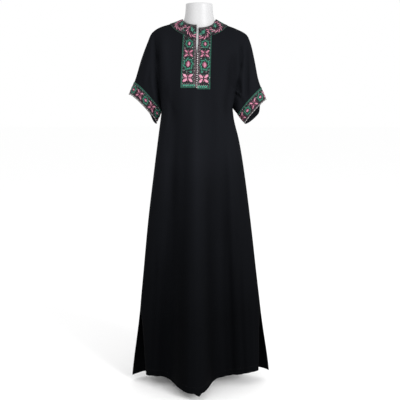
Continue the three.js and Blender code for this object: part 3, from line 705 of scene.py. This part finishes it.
def panel_grids(panel):
    """Grids of the yoke, skirt and sleeve on both sides, as weld takes them."""
    outward = np.array([0, panel["face"], 0])
    grids = []
    across = np.linspace(0, 1, COLS + 1)[None, :]
    for side in (RIGHT, LEFT):
        t = np.linspace(0, 1, YOKE_ROWS + 1)[:, None]
        seam = (t == 0) & (across >= NECK_SHARE) | (t == 1) & (across == 1)
        grids.append((place(panel, yoke(panel, side, across, t + 0 * across), seam), seam, outward))
        down = np.linspace(0, 1, SKIRT_ROWS + 1)[:, None] + 0 * across
        shape = skirt(panel, side, across, down)
        edge = (across == 1) & (shape[2] > SIDE_SLIT_TOP - 1)
        grids.append((place(panel, shape, edge), edge, outward))
        step = np.linspace(0, 1, SLEEVE_STEPS + 1)[None, :]
        seam = np.broadcast_to((t == 0) | (t == 1), (t.size, step.size))
        points = place(panel, sleeve(panel, side, step + 0 * t, t + 0 * step), seam)
        armhole_line = grids[-2][0][:, -1]
        fit = (armhole_line - points[:, 0])[:, None, :] * (1 - smoothstep(step, 0, SLEEVE_FIT))[..., None]
        grids.append((points + fit, seam, outward))
    return grids


def clear_of(points, normals, solid, least, reach=30):
    """Points moved out along their normals where they would be nearer than that to a solid.

    A point further than the reach from the solid's surface stays.
    """
    moved = points.copy()
    for i, (point, normal) in enumerate(zip(points, normals)):
        at, facing, _, _ = solid.find_nearest(point, reach)
        if at is None:
            continue
        height = (point - np.array(at)) @ np.array(facing)
        if height < least:
            moved[i] = point + normal * (least - height)
    return moved


def cad_tree(name):
    """The CAD solid's surface, in millimetres."""
    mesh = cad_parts[name].data
    corners = [tuple(v.co / MM) for v in mesh.vertices]
    return BVHTree.FromPolygons(corners, [tuple(p.vertices) for p in mesh.polygons])


form_tree = cad_tree("dress_form")
sheets = {}
for name, panel in (("front", FRONT), ("back", BACK)):
    points, quads, normals = weld(panel_grids(panel))
    points = clear_of(points, normals, form_tree, FORM_CLEAR)
    sheets[name] = (points, quads, normals)
    panel["tree"] = BVHTree.FromPolygons(points.tolist(), quads.tolist())
    corners, faces = shell(points, quads, normals, -CLOTH / 2, CLOTH / 2)
    panel["piece"] = new_piece(f"{name}_cloth", corners, faces, [BLACK_CREPE])
    # painted crease shade and highlight for the crepe
    paint_fold_shade(panel["piece"], panel, points)
    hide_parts(f"{name}_panel")


# ---------- patches that the bands and threads lie on
class Patch:
    """A band's stretch of cloth: u runs along its length and v across it, both in millimetres.

    outward is a way out of the cloth, one for all points or one for each.
    """

    def __init__(self, points, outward, closed=False):
        self.closed = closed
        middle = points[:, points.shape[1] // 2]
        length = lengths(middle)
        even = np.interp(np.linspace(0, length[-1], len(points)), length, np.arange(len(points)))
        low = np.minimum(even.astype(int), len(points) - 2)
        self.points = lerp(points[low], points[low + 1], (even - low)[:, None, None])
        normals = unit(np.cross(np.gradient(self.points, axis=0), np.gradient(self.points, axis=1)))
        self.normals = -normals if (normals * outward).sum() < 0 else normals
        self.length = length[-1]
        self.width = np.linalg.norm(np.diff(self.points, axis=1), axis=2).sum(1).mean()

    def at(self, u, v, lift):
        """Points at u and v, lifted along the patch's normals."""
        rows, cols = self.points.shape[:2]
        share = np.asarray(u) / self.length
        i = (np.mod(share, 1) if self.closed else np.clip(share, 0, 1)) * (rows - 1)
        j = np.clip(np.asarray(v) / self.width, 0, 1) * (cols - 1)
        i0, j0 = np.minimum(i.astype(int), rows - 2), np.minimum(j.astype(int), cols - 2)
        fi, fj = (i - i0)[..., None], (j - j0)[..., None]

        def mix(grid):
            near = lerp(grid[i0, j0], grid[i0 + 1, j0], fi)
            return lerp(near, lerp(grid[i0, j0 + 1], grid[i0 + 1, j0 + 1], fi), fj)

        return mix(self.points) + mix(self.normals) * np.asarray(lift)[..., None]


def depth_on(panel, x, z, outside=400):
    """Points of a panel where lines from outside, straight through x and z, meet it."""
    face = panel["face"]
    out = []
    for px, pz in zip(np.ravel(x), np.ravel(z)):
        hit = panel["tree"].ray_cast((px, face * outside, pz), (0, -face, 0))[0]
        if hit is None:
            hit = panel["tree"].find_nearest((px, 0, pz))[0]
        out.append(tuple(hit))
    return np.array(out).reshape(*np.shape(x), 3)


def nearest_on(panel, points):
    """The panel's points nearest to some others."""
    flat = [tuple(panel["tree"].find_nearest(p)[0]) for p in points.reshape(-1, 3)]
    return np.array(flat).reshape(points.shape)


def slit_edge(side, z):
    """x of the slit's edge in the cloth at a height."""
    t = np.linspace(0, 1, 200)
    x, _, height = yoke(FRONT, side, 0 * t, t)
    return np.interp(z, height[::-1], x[::-1])


def placket_patch(side):
    """u from the top down, v from the slit out."""
    down, v = np.linspace(0, 1, 60)[:, None], np.linspace(0, 1, 14)[None, :]
    z = lerp(PLACKET_TOP, PLACKET_BOTTOM[side["sign"]], down)
    half = lerp(*PLACKET_HALF[side["sign"]], down)
    x = lerp(slit_edge(side, z) + side["sign"] * BAND_INSET, front_middle(z) + side["sign"] * half, v)
    return Patch(depth_on(FRONT, x, z + 0 * v), [0, -1, 0])


def shoulder_z(side, x):
    """Height of the overarm seam at x."""
    return np.interp(side["sign"] * x, side["sign"] * side["line"][:, 0], side["line"][:, 1])


def collar_patch(panel, side):
    """u from the middle to the shoulder seam, v from the neckline out."""
    sign, drop, start = side["sign"], panel["collar_drop"], 0
    if panel is FRONT:
        start = sign * (slit_edge(side, COLLAR_FOOT) + sign * BAND_INSET - NECK_CENTRE)
    angle = np.linspace(0.02, QUARTER, 400)
    outer_x = NECK_CENTRE + sign * COLLAR_HALF * np.sin(angle)
    last = angle[COLLAR_Z - drop * np.cos(angle) < shoulder_z(side, outer_x)][-1]
    share = np.linspace(0, 1, 40)
    angles = lerp(math.asin(start / COLLAR_HALF), last, share)
    x_out = NECK_CENTRE + sign * COLLAR_HALF * np.sin(angles)
    dip = panel["collar_dip"] * (1 - smoothstep(np.abs(x_out - NECK_CENTRE), *COLLAR_DIP))
    outer = depth_on(panel, x_out, COLLAR_Z - (drop + dip) * np.cos(angles))
    outer[-1, 1] = panel["face"] * SEAM_GAP / 2
    nx, nd, nz = neckline(panel, side, share)
    if panel is FRONT:
        nx = nx + sign * (SLIT_OPEN / 2 + BAND_INSET) * np.maximum(1 - share / COLLAR_PARTING, 0)
    inner = np.stack([nx, panel["face"] * np.maximum(nd, SEAM_GAP / 2), nz], -1)
    v = np.linspace(0, 1, 14)[None, :, None]
    points = nearest_on(panel, lerp(inner[:, None], outer[:, None], v))
    points[:, 0] = inner
    return Patch(points, [0, panel["face"], 1])


def cuff_patch(side):
    """u round the sleeve from the overarm, front first, and v from the hem up."""
    step = lerp(1, CUFF_SHARE - 0.02, np.linspace(0, 1, 12))[None, :]
    halves = []
    for panel, t in ((FRONT, np.linspace(0, 1, 80)), (BACK, np.linspace(1, 0, 80)[1:])):
        halves.append(place(panel, sleeve(panel, side, step, t[:, None]), False))
    ring = np.vstack(halves)
    return Patch(ring, ring - ring.mean(0), closed=True)


def band_grid(patch, lift):
    """All corners of a patch, lifted off it."""
    u = np.linspace(0, patch.length * (1 - 1e-6), patch.points.shape[0])[:, None]
    v = np.linspace(0, patch.width, patch.points.shape[1])[None, :]
    return patch.at(u + 0 * v, v + 0 * u, np.full((u.size, v.size), lift))


def band_faces(patch, lift, wall):
    """Closed strip on a patch: corners and faces."""
    low, high = band_grid(patch, lift), band_grid(patch, lift + wall)
    quads = quads_of(*low.shape[:2])
    out = (high - low).reshape(-1, 3) / wall
    if (facings(high.reshape(-1, 3), quads) * out[quads[:, 0]]).sum() < 0:
        quads = quads[:, ::-1]
    return shell(low.reshape(-1, 3), quads, out, 0, wall)


def band_piece(name, patches, node_name):
    """A band's ground from patches, each with its lift, in place of the CAD node."""
    corners, faces, start = [], [], 0
    for patch, lift in patches:
        part, part_faces = band_faces(patch, lift, BAND)
        corners.append(part)
        faces += [[i + start for i in face] for face in part_faces]
        start += len(part)
    piece = new_piece(name, np.vstack(corners), faces, [GROUND])
    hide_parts(node_name)
    return piece


# ---------- stitches
class Stitches:
    """Gathers stitches in several colours, at one height over patches, then makes a piece of them."""

    def __init__(self, lift=THREAD_LIFT):
        self.lift, self.patch = lift, None
        self.corners, self.faces, self.colours, self.count = [], [], [], 0

    def on(self, patch):
        """The stitches that follow lie on this patch."""
        self.patch = patch
        return self

    def add_grid(self, grid, colour, closed=False):
        quads = quads_of(*grid.shape[:2], self.count, closed, flipped=True)
        self.corners.append(grid.reshape(-1, 3))
        self.faces += quads.tolist()
        self.colours += [THREAD_NAMES.index(colour)] * len(quads)
        self.count += len(self.corners[-1])

    def satin(self, root, tip, width, colour, height=1.2, blunt=0.6, full=0.7):
        """A leaf or petal of side-by-side strands laid across its length."""
        root, tip = np.array(root, float), np.array(tip, float)
        axis = tip - root
        length = np.linalg.norm(axis)
        side_way = np.array([-axis[1], axis[0]]) / length
        strands = max(4, round(length / STRAND))
        s = np.linspace(0, 1, strands * 3 + 1)[:, None]
        j = np.linspace(-1, 1, 5)[None, :]
        wide = np.sin(math.pi * s**blunt) ** full * (1 - s**6) + 0.02
        slant = 0.05 * j * wide
        place_uv = root + axis * (s + slant)[..., None] + side_way * (wide * j * width / 2)[..., None]
        ridge = 0.7 + 0.3 * np.abs(np.sin(math.pi * strands * s))
        dome = np.sqrt(np.maximum(1 - j**2, 0)) * np.minimum(wide * 1.6, 1) * ridge * height
        grid = self.patch.at(place_uv[..., 0], place_uv[..., 1], self.lift + dome)
        self.add_grid(grid, colour)

    def rope(self, path, width, colour, stitch=STEM_STITCH):
        """A line of stem stitch: a plump thread that narrows between stitches."""
        path = np.array(path, float)
        length = lengths(path)
        count = max(2, round(length[-1] / stitch)) * 3 + 1
        d = np.linspace(0, length[-1], count)
        uv = np.stack([np.interp(d, length, path[:, i]) for i in (0, 1)], -1)
        along = unit(np.gradient(uv, axis=0))
        side_way = np.stack([-along[:, 1], along[:, 0]], -1)
        plump = (0.68 + 0.32 * np.abs(np.sin(math.pi * d / stitch)))[:, None]
        angle = np.linspace(0, math.pi, 5)[None, :]
        off = np.cos(angle) * plump * width / 2
        lift = self.lift + np.sin(angle) * plump * width * 0.42
        place_uv = uv[:, None] + side_way[:, None] * off[..., None]
        self.add_grid(self.patch.at(place_uv[..., 0], place_uv[..., 1], lift), colour)

    def bead(self, at, size):
        """A small round white bead."""
        lat, lon = np.meshgrid(np.linspace(0, math.pi, 6), np.linspace(0, 2 * math.pi, 9)[:-1], indexing="ij")
        r = size / 2
        off_u, off_v = r * np.sin(lat) * np.cos(lon), r * np.sin(lat) * np.sin(lon)
        lift = self.lift + r * 0.75 + r * np.cos(lat)
        near = self.patch.at(at[0] + np.array([0, 0.5, 0]), at[1] + np.array([0, 0, 0.5]), 0.0)
        du, dv = unit(near[1:] - near[0])
        grid = self.patch.at(at[0] + 0 * lat, at[1] + 0 * lat, lift)
        self.add_grid(grid + off_u[..., None] * du + off_v[..., None] * dv, "white", closed=True)

    def seed(self, at, turn, colour, length=3.0, width=1.1):
        """One short loose stitch."""
        s, j = np.linspace(-1, 1, 4)[:, None], np.linspace(-1, 1, 3)[None, :]
        taper = np.sqrt(np.maximum(1 - (s * 0.9) ** 2, 0))
        u = at[0] + math.cos(turn) * s * length / 2 - math.sin(turn) * j * taper * width / 2
        v = at[1] + math.sin(turn) * s * length / 2 + math.cos(turn) * j * taper * width / 2
        lift = self.lift + 0.1 + 0.55 * (1 - j**2) * taper
        self.add_grid(self.patch.at(u, v, lift), colour)

    def piece(self, name):
        materials = [THREADS[colour] for colour in THREAD_NAMES]
        corners = np.vstack(self.corners)
        return new_piece(name, corners, self.faces, materials, self.colours, 60)


def around(centre, radius_u, radius_v, turn):
    """A point of an ellipse on a patch."""
    return centre[0] + radius_u * math.cos(turn), centre[1] + radius_v * math.sin(turn)


def two_toned(stitches, root, tip, width, shades, blunt=1.0, full=0.7):
    """A satin shape in a dark shade with a lighter, narrower one worked over it."""
    dark, light = shades
    root, tip = np.array(root), np.array(tip)
    stitches.satin(root, tip, width, dark, height=1.1, blunt=blunt, full=full)
    over = lerp(root, tip, OVER_FROM), lerp(root, tip, OVER_TO)
    stitches.satin(*over, width * OVER_WIDTH, light, height=1.8, blunt=blunt, full=full)


def wreath(stitches, centre, radius_u, radius_v, leaf, shades, start=0.0, end=2 * math.pi):
    """Leaves in a ring, each slanted out from it; a part ring where start and end say."""
    circle = math.sqrt((radius_u**2 + radius_v**2) / 2) * (end - start)
    count = max(5, round(circle / (leaf * LEAF_WIDTH)))
    turns = np.linspace(start, end, count, endpoint=end - start < 2 * math.pi)
    lean = leaf / circle * (end - start) * 0.5
    for i, turn in enumerate(turns):
        inner, outer = LEAF_ROOT + LEAF_UNEVEN[i % 2], LEAF_TIP + LEAF_UNEVEN[i % 2]
        root = around(centre, radius_u * inner, radius_v * inner, turn - lean)
        tip = around(centre, radius_u * outer, radius_v * outer, turn + lean)
        two_toned(stitches, root, tip, leaf * LEAF_WIDTH, shades, blunt=0.9)


def cross_flower(stitches, centre, reach_u, reach_v, width, shades=("rose", "pink")):
    """Four petals on the diagonals, broadest near their tips, with small strands between."""
    for su in (-1, 1):
        for sv in (-1, 1):
            root = centre[0] + su * reach_u * 0.08, centre[1] + sv * reach_v * 0.08
            tip = centre[0] + su * reach_u, centre[1] + sv * reach_v
            two_toned(stitches, root, tip, width, shades, blunt=1.3)
    for su, sv in ((0, -1), (0, 1), (-1, 0), (1, 0)):
        root = centre[0] + su * reach_u * 0.4, centre[1] + sv * reach_v * 0.4
        tip = centre[0] + su * reach_u * 0.92, centre[1] + sv * reach_v * 0.86
        stitches.satin(root, tip, width * 0.36, "rose", height=0.9)


def lozenge(stitches, centre, half_u, half_v):
    """Pink almond inside a wreath."""
    top, foot = (centre[0] - half_u, centre[1]), (centre[0] + half_u, centre[1])
    two_toned(stitches, top, foot, half_v * 2.3, ("rose", "pink"), full=1.1)


def seeds(stitches, count, u_range, v_range, colours):
    """Loose stitches scattered over a stretch of a patch."""
    for _ in range(count):
        at = rng.uniform(*u_range), rng.uniform(*v_range)
        stitches.seed(at, rng.uniform(0, math.pi), colours[rng.integers(len(colours))])


def border(stitches, path_at):
    """Green edging: a thick line of stem stitch and a thin one, with a row of loose stitches inside.

    path_at(inset) gives the line that far in from the band's edge.
    """
    for inset, width, colour in ((1.5, 2.8, "dark"), (3.6, 1.0, "green")):
        stitches.rope(path_at(inset), width, colour)
    path = np.array(path_at(6.6), float)
    length = lengths(path)
    for i, d in enumerate(np.arange(2, length[-1] - 1, 4.2)):
        at = [np.interp(d, length, path[:, axis]) for axis in (0, 1)]
        stitches.seed(at, 0.9 if i % 2 else -0.9, ("green", "white", "dark")[i % 3], length=2.4)


def sprig(stitches, centre, size):
    """Small cluster of leaves."""
    for turn in (0.5, 1.9, 3.4, 4.7, 5.8):
        root = around(centre, size * 0.12, size * 0.12, turn)
        stitches.satin(root, around(centre, size, size, turn), size * 0.6, "green")


# ---------- front bands
# Motif centres down each half: along from the top, and out from the slit.
PLACKET_MOTIFS = {
    -1: {"small": (39, 27), "upper": (78, 29), "large": (121, 30), "leaf": (151, 20), "lower": (174, 30)},
    1: {"small": (41, 26), "upper": (80, 26.5), "large": (125, 28), "leaf": (151, 19), "lower": (177, 25)},
}
COLLAR_MOTIFS = {-1: (0.13, 0.63), 1: (0.12, 0.57)}  # shares of the way from the slit to the shoulder
LEAF, PETAL = ("dark", "green"), ("rose", "pink")
SLIT_BEADS = {"from": 81, "pitch": 8.0, "size": 4.3}
ZIGZAG = {"pitch": 7.6, "foot": 6, "top": 15.5, "beads": 14.5}  # across the placket, and up from its foot
# Lines of stem stitch: how far in from the slit, the neckline or the cuff's edge, and their colour.
SLIT_LINES = ((1.4, "mauve"), (3.6, "mauve"), (8.2, "mauve"), (10.4, "dark"))
NECK_LINES = ((1.4, "mauve"), (3.5, "dark"), (5.4, "mauve"))
CUFF_LINES = ((1.6, "mauve"), (3.6, "dark"), (5.4, "mauve"))
LOOSE_BEADS = (
    (145, 44), (152, 34), (162, 12), (98, 45), (58, 44), (56, 14), (100, 14), (174, 47), (174, 12),
)
COLLAR_WREATHS = ((22, 24, 0.74), (15, 28, 1.02))  # out from the neckline, radius, end in half turns
PLACKET_FILL = ("mauve", "mauve", "dark", "green", "green")
COLLAR_FILL = ("mauve", "white", "white", "mauve", "green")
CUFF_FILL, TIP_FILL = ("mauve", "mauve", "dark", "mauve", "green"), ("white", "mauve", "mauve")


def lines(stitches, rows, length, width, stitch=STEM_STITCH):
    """Lines of stem stitch along a patch, from rows of how far in and which colour."""
    for v, colour in rows:
        stitches.rope([(0, v), (length, v)], width, colour, stitch)


def stitch_placket(stitches, sign):
    """Motifs down one half of the placket, a zigzag at its foot and lines beside the slit."""
    length, width = stitches.patch.length, stitches.patch.width
    motifs = PLACKET_MOTIFS[sign]
    border(
        stitches,
        lambda inset: [(0, width - inset), (length - inset, width - inset), (length - inset, 3)],
    )
    wreath(stitches, motifs["small"], 15.5, 14, 10.3, LEAF)
    lozenge(stitches, motifs["small"], 9.5, 5.2)
    cross_flower(stitches, motifs["upper"], 14.5, 17.5, 9.4)
    wreath(stitches, motifs["large"], 21.5, 17, 12.3, LEAF)
    lozenge(stitches, motifs["large"], 14.5, 7.6)
    cross_flower(stitches, motifs["lower"], 15.5, 18.5, 10.8, ("pink", "blush"))
    sprig(stitches, motifs["leaf"], 6)
    foot, top, beads = (length - ZIGZAG[key] for key in ("foot", "top", "beads"))
    for v in np.arange(6, width - 9, ZIGZAG["pitch"]):
        stitches.satin((foot, v), (top, v), 7.4, "green", blunt=0.45)
        stitches.bead((beads, v + ZIGZAG["pitch"] / 2), 2.2)
    for at in LOOSE_BEADS:
        stitches.bead(at, 2.8)
    lines(stitches, SLIT_LINES, length - 3, 1.7, 4.2)
    for i, u in enumerate(np.arange(4, length - 6, 4.6)):
        turn, colour = (1.2 if i % 2 else -1.2), ("white" if i % 3 else "mauve")
        stitches.seed((u, 5.9), turn, colour, length=2.4)
    seeds(stitches, 330, (3, length - 18), (11, width - 9), PLACKET_FILL)
    if sign > 0:
        for i, u in enumerate(np.arange(SLIT_BEADS["from"], length - 3, SLIT_BEADS["pitch"])):
            stitches.bead((u, 0.5 + 0.4 * math.sin(i * 1.7)), SLIT_BEADS["size"])


def collar_wreath(stitches, centre, radius, end):
    """An open pink wreath, with small leaves outside it and green sprigs inside."""
    wreath(stitches, centre, radius, radius, 9, PETAL, -0.45, math.pi * end)
    for turn in np.linspace(0, 0.8, 6) * math.pi:
        inner, outer = (around(centre, radius * share, radius * share, turn) for share in (0.6, 0.78))
        stitches.satin(inner, outer, 2.6, "rose")
        outer = around(centre, radius * 1.42, radius * 1.36, turn)
        if outer[1] < stitches.patch.width - 8:
            stitches.satin(around(centre, radius * 1.24, radius * 1.2, turn), outer, 3.4, "green")
    sprig(stitches, (centre[0], centre[1] - 1), 10)
    sprig(stitches, (centre[0] + 7, centre[1] - 9), 5)
    for turn in np.arange(0, 2 * math.pi, 0.7):
        colour = "green" if turn < 4 else "white"
        stitches.seed(around(centre, 13, 12, turn), turn, colour, length=2.8)


def stitch_collar(stitches, shares=(0.2, 0.68), border_from=0):
    """Two wreaths at shares of the collar's length, and a green border outside border_from, an x."""
    length, width = stitches.patch.length, stitches.patch.width
    outer_edge = np.abs(stitches.patch.points[:, -1, 0])
    start = length * np.argmax(outer_edge >= border_from) / (len(outer_edge) - 1)
    border(stitches, lambda inset: [(start, width - inset), (length, width - inset)])
    lines(stitches, NECK_LINES, length, 1.9)
    for share, (out, radius, end) in zip(shares, COLLAR_WREATHS):
        collar_wreath(stitches, (length * share, out), radius, end)
    for share in (0.04, 0.44, 0.93):
        stitches.bead((length * share + 2, width * 0.7), 2.6)
        sprig(stitches, (length * share, width * 0.55), 6)
    seeds(stitches, 420, (2, length - 2), (6, width - 9), COLLAR_FILL)


pieces_on = {}
for side, word in ((RIGHT, "right"), (LEFT, "left")):
    placket, collar = placket_patch(side), collar_patch(FRONT, side)
    band = band_piece(
        f"front_band_cloth_{word}",
        [(placket, BAND_LIFT), (collar, COLLAR_LIFT)],
        f"front_band_{word}",
    )
    stitches = Stitches()
    stitch_placket(stitches.on(placket), side["sign"])
    stitch_collar(stitches.on(collar), COLLAR_MOTIFS[side["sign"]], PLACKET_HALF[side["sign"]][0])
    pieces_on[word] = (band, stitches.piece(f"front_embroidery_{word}"), placket, collar)

# ---------- back band
back_patches = [collar_patch(BACK, side) for side in (RIGHT, LEFT)]
back_band = band_piece("back_band_cloth", [(patch, BAND_LIFT) for patch in back_patches], "back_neck_band")
back_stitches = Stitches()
for patch in back_patches:
    stitch_collar(back_stitches.on(patch))
back_embroidery = back_stitches.piece("back_embroidery")


# ---------- cuffs
# Motifs round each cuff, where the first one's centre is in pitches, and whether it is a flower.
CUFF_MOTIFS = {-1: (12, 0.86, False), 1: (10, 0.2, True)}


def stitch_cuff(stitches, count, first, flower_first):
    """Flowers and wreaths in turn round a cuff, with beads along its edge."""
    length, width = stitches.patch.length, stitches.patch.width
    border(stitches, lambda inset: [(0, width - inset), (length, width - inset)])
    lines(stitches, CUFF_LINES, length, 1.7)
    pitch = length / count
    for i in range(count):
        centre = ((i + first) * pitch, width * 0.49)
        if (i % 2 == 0) == flower_first:
            cross_flower(stitches, centre, pitch * 0.45, 15, 8.2)
        else:
            wreath(stitches, centre, pitch * 0.38, 13.5, 10, LEAF)
            lozenge(stitches, centre, 8.5, 5)
        stitches.bead((centre[0] + pitch / 2, width * 0.7), 2.4)
    for i, u in enumerate(np.arange(0, length - 1, 4.4)):
        stitches.bead((u, 2.4), 3.2 if i % 3 == 0 else 1.8)
    seeds(stitches, 620, (0, length), (5, width - 9), CUFF_FILL)
    seeds(stitches, 70, (0, length * 0.09), (4, width - 9), TIP_FILL)


cuffs = {}
for side, word in ((RIGHT, "right"), (LEFT, "left")):
    patch = cuff_patch(side)
    band = band_piece(f"cuff_cloth_{word}", [(patch, BAND_LIFT)], f"cuff_band_{word}")
    stitches = Stitches()
    stitch_cuff(stitches.on(patch), *CUFF_MOTIFS[side["sign"]])
    cuffs[word] = (band, stitches.piece(f"cuff_embroidery_{word}"), patch)


# ---------- hems and slit edges
def running_stitch(stitches, panel, side, across, down):
    """Short dark stitches along a line of the skirt, given as that line and one beside it."""
    line = place(panel, skirt(panel, side, across + 0 * down, down + 0 * across), False)
    stitches.on(Patch(line, [0, panel["face"], 0]))
    for u in np.arange(3, stitches.patch.length - 3, 6.5):
        stitches.seed((u, 1.5), 0, "dark", length=3.4, width=0.8)


def hem_stitches(panel, name):
    """Running stitch above the hem and beside the side slits."""
    stitches = Stitches(HEM_LIFT)
    above_hem = 1 - (STITCH_IN + np.array([[3.0, 0.0]])) / SKIRT_DROP
    down_slit = np.linspace(1 - (SIDE_SLIT_TOP - 70) / SKIRT_DROP, 0.985, 60)[:, None]
    for side in (RIGHT, LEFT):
        running_stitch(stitches, panel, side, np.linspace(0, 0.985, 60)[:, None], above_hem)
        running_stitch(stitches, panel, side, np.array([[0.965, 0.955]]), down_slit)
    return new_piece(name, np.vstack(stitches.corners), stitches.faces, [HEM_THREAD])


front_hem = hem_stitches(FRONT, "front_hem_stitches")
back_hem = hem_stitches(BACK, "back_hem_stitches")

# ---------- the dress form and its stand
# The neck is a little wider and lower than the solid's, and its rim is sharper: the rim's lower ring
# goes up towards its top one, and the top one out.
RIM_LOW, RIM_TOP, NECK_FROM, SAME_HEIGHT = 1534, 1540, 1480, 0.5
FORM_MIDDLE, NECK_WIDER, RIM_WIDER = (-1.5, 3), 0.035, 0.06
RIM_RAISED, RIM_LOWERED = 3.5, 5
CREASE, CREASE_ANGLE = 0.85, 40


def sharpen_rim(work):
    crease = work.edges.layers.float.new("crease_edge")
    for edge in work.edges:
        heights = [v.co.z / MM for v in edge.verts]
        on_rim = any(all(abs(z - ring) < SAME_HEIGHT for z in heights) for ring in (RIM_LOW, RIM_TOP))
        if on_rim or len(edge.link_faces) == 2 and edge.calc_face_angle() > math.radians(CREASE_ANGLE):
            edge[crease] = CREASE
    for v in work.verts:
        height = v.co.z / MM
        wider = (height > NECK_FROM) * NECK_WIDER + (height > RIM_TOP - SAME_HEIGHT) * RIM_WIDER
        for axis, centre in enumerate(FORM_MIDDLE):
            v.co[axis] += (v.co[axis] - centre * MM) * wider
        if abs(height - RIM_LOW) < SAME_HEIGHT:
            v.co.z += (RIM_RAISED - RIM_LOWERED) * MM
        elif height > RIM_LOW + SAME_HEIGHT:
            v.co.z -= RIM_LOWERED * MM


form_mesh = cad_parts["dress_form"].data.copy()
work = bmesh.new()
work.from_mesh(form_mesh)
bmesh.ops.remove_doubles(work, verts=work.verts, dist=0.02 * MM)
bmesh.ops.join_triangles(
    work, faces=work.faces, angle_face_threshold=math.radians(35), angle_shape_threshold=math.radians(60)
)
bmesh.ops.recalc_face_normals(work, faces=work.faces)
sharpen_rim(work)
work.to_mesh(form_mesh)
work.free()
form_mesh.materials.clear()
form_mesh.materials.append(FORM_WHITE)
form_mesh.polygons.foreach_set("use_smooth", [True] * len(form_mesh.polygons))
form = add_object("form_shell", form_mesh)
smooth = form.modifiers.new("smooth", "SUBSURF")
smooth.levels = smooth.render_levels = 2
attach(form, "root")
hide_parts("dress_form")


def turned(name, profile, centre, sides=64):
    """A solid of revolution from (radius, height) rows, in millimetres."""
    angle = np.linspace(0, 2 * math.pi, sides, endpoint=False)
    rows = [(r * np.cos(angle) + centre[0], r * np.sin(angle) + centre[1], 0 * angle + z) for r, z in profile]
    grid = np.array([np.stack(row, -1) for row in rows])
    faces = quads_of(len(rows), sides, closed=True, flipped=True).tolist()
    last = (len(rows) - 1) * sides
    faces += [list(range(sides))[::-1], list(range(last, last + sides))]
    return new_piece(name, grid.reshape(-1, 3), faces, [STAND_WHITE])


low, high = (np.array(c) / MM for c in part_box("stand_pole"))
foot, top = low[2], high[2]
flange = [(29.2, foot), (30, foot + 0.8), (30, foot + 3.2), (29, foot + 4)]
sleeve_rows = [(17.8, foot + 6), (17, foot + 7), (17, foot + 25), (16, foot + 26)]
tube = [(12.5, foot + 28), (12.5, top)]
pole = turned("stand_tube", flange + sleeve_rows + tube, ((low[0] + high[0]) / 2, 0))
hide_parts("stand_pole")

low, high = (np.array(c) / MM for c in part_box("stand_base"))
radius, foot, top = (high[0] - low[0]) / 2, low[2], high[2]
under = [(radius - 3, foot), (radius - 0.6, foot + 0.2), (radius, foot + 0.9)]
over = [(radius, top - 1.8), (radius - 0.5, top - 0.6), (radius - 1.8, top), (radius - 14, top)]
plate = turned("stand_plate", under + over, ((low[0] + high[0]) / 2, (low[1] + high[1]) / 2))
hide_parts("stand_base")


for word in ("right", "left"):
    band, embroidery, *patches = pieces_on[word]
    band, embroidery, cuff = cuffs[word]

# ---------- floor, light and camera
FRAME_PIXELS, FOCAL_PIXELS, SENSOR = 400, 729, 36
CAMERA = {"x": 0.0016, "y": -2.9, "z": 1.164, "pitch": 7.76}

floor_mesh = bpy.data.meshes.new("floor")
floor_mesh.from_pydata([(-30, -30, 0), (30, -30, 0), (30, 30, 0), (-30, 30, 0)], [], [(0, 1, 2, 3)])
floor = add_object("floor", floor_mesh)
floor_white, _, _ = shader("floor_white", (0.99, 0.99, 0.99), 0.9, Specular_IOR_Level=0.0)
floor_mesh.materials.append(floor_white)

world = bpy.data.worlds.new("studio")
world.use_nodes = True
world.node_tree.nodes["Background"].inputs["Color"].default_value = (1, 1, 1, 1)
world.node_tree.nodes["Background"].inputs["Strength"].default_value = 1.0
bpy.context.scene.world = world


def area_light(name, place_m, aim, size, power):
    """A square light at a place, turned to shine at another; metres and watts."""
    light = bpy.data.lights.new(name, "AREA")
    light.size, light.energy = size, power
    lamp = add_object(name, light)
    lamp.location = place_m
    way = np.array(aim) - np.array(place_m)
    lamp.rotation_euler = (
        math.atan2(math.hypot(way[0], way[1]), -way[2]),
        0,
        math.atan2(way[1], way[0]) - QUARTER,
    )


area_light("key", (2.1, -2.8, 1.7), (0, -0.1, 0.9), 1.2, 98)
area_light("fill", (-0.9, -1.9, 2.1), (0, -0.1, 1.3), 1.2, 9)

bpy.context.scene.view_settings.view_transform = "Standard"
camera_data = bpy.data.cameras.new("camera")
camera_data.sensor_width = SENSOR
camera_data.lens = FOCAL_PIXELS * SENSOR / FRAME_PIXELS
camera = add_object("camera", camera_data)
camera.location = (CAMERA["x"], CAMERA["y"], CAMERA["z"])
camera.rotation_euler = (math.radians(90 - CAMERA["pitch"]), 0, 0)
bpy.context.scene.camera = camera
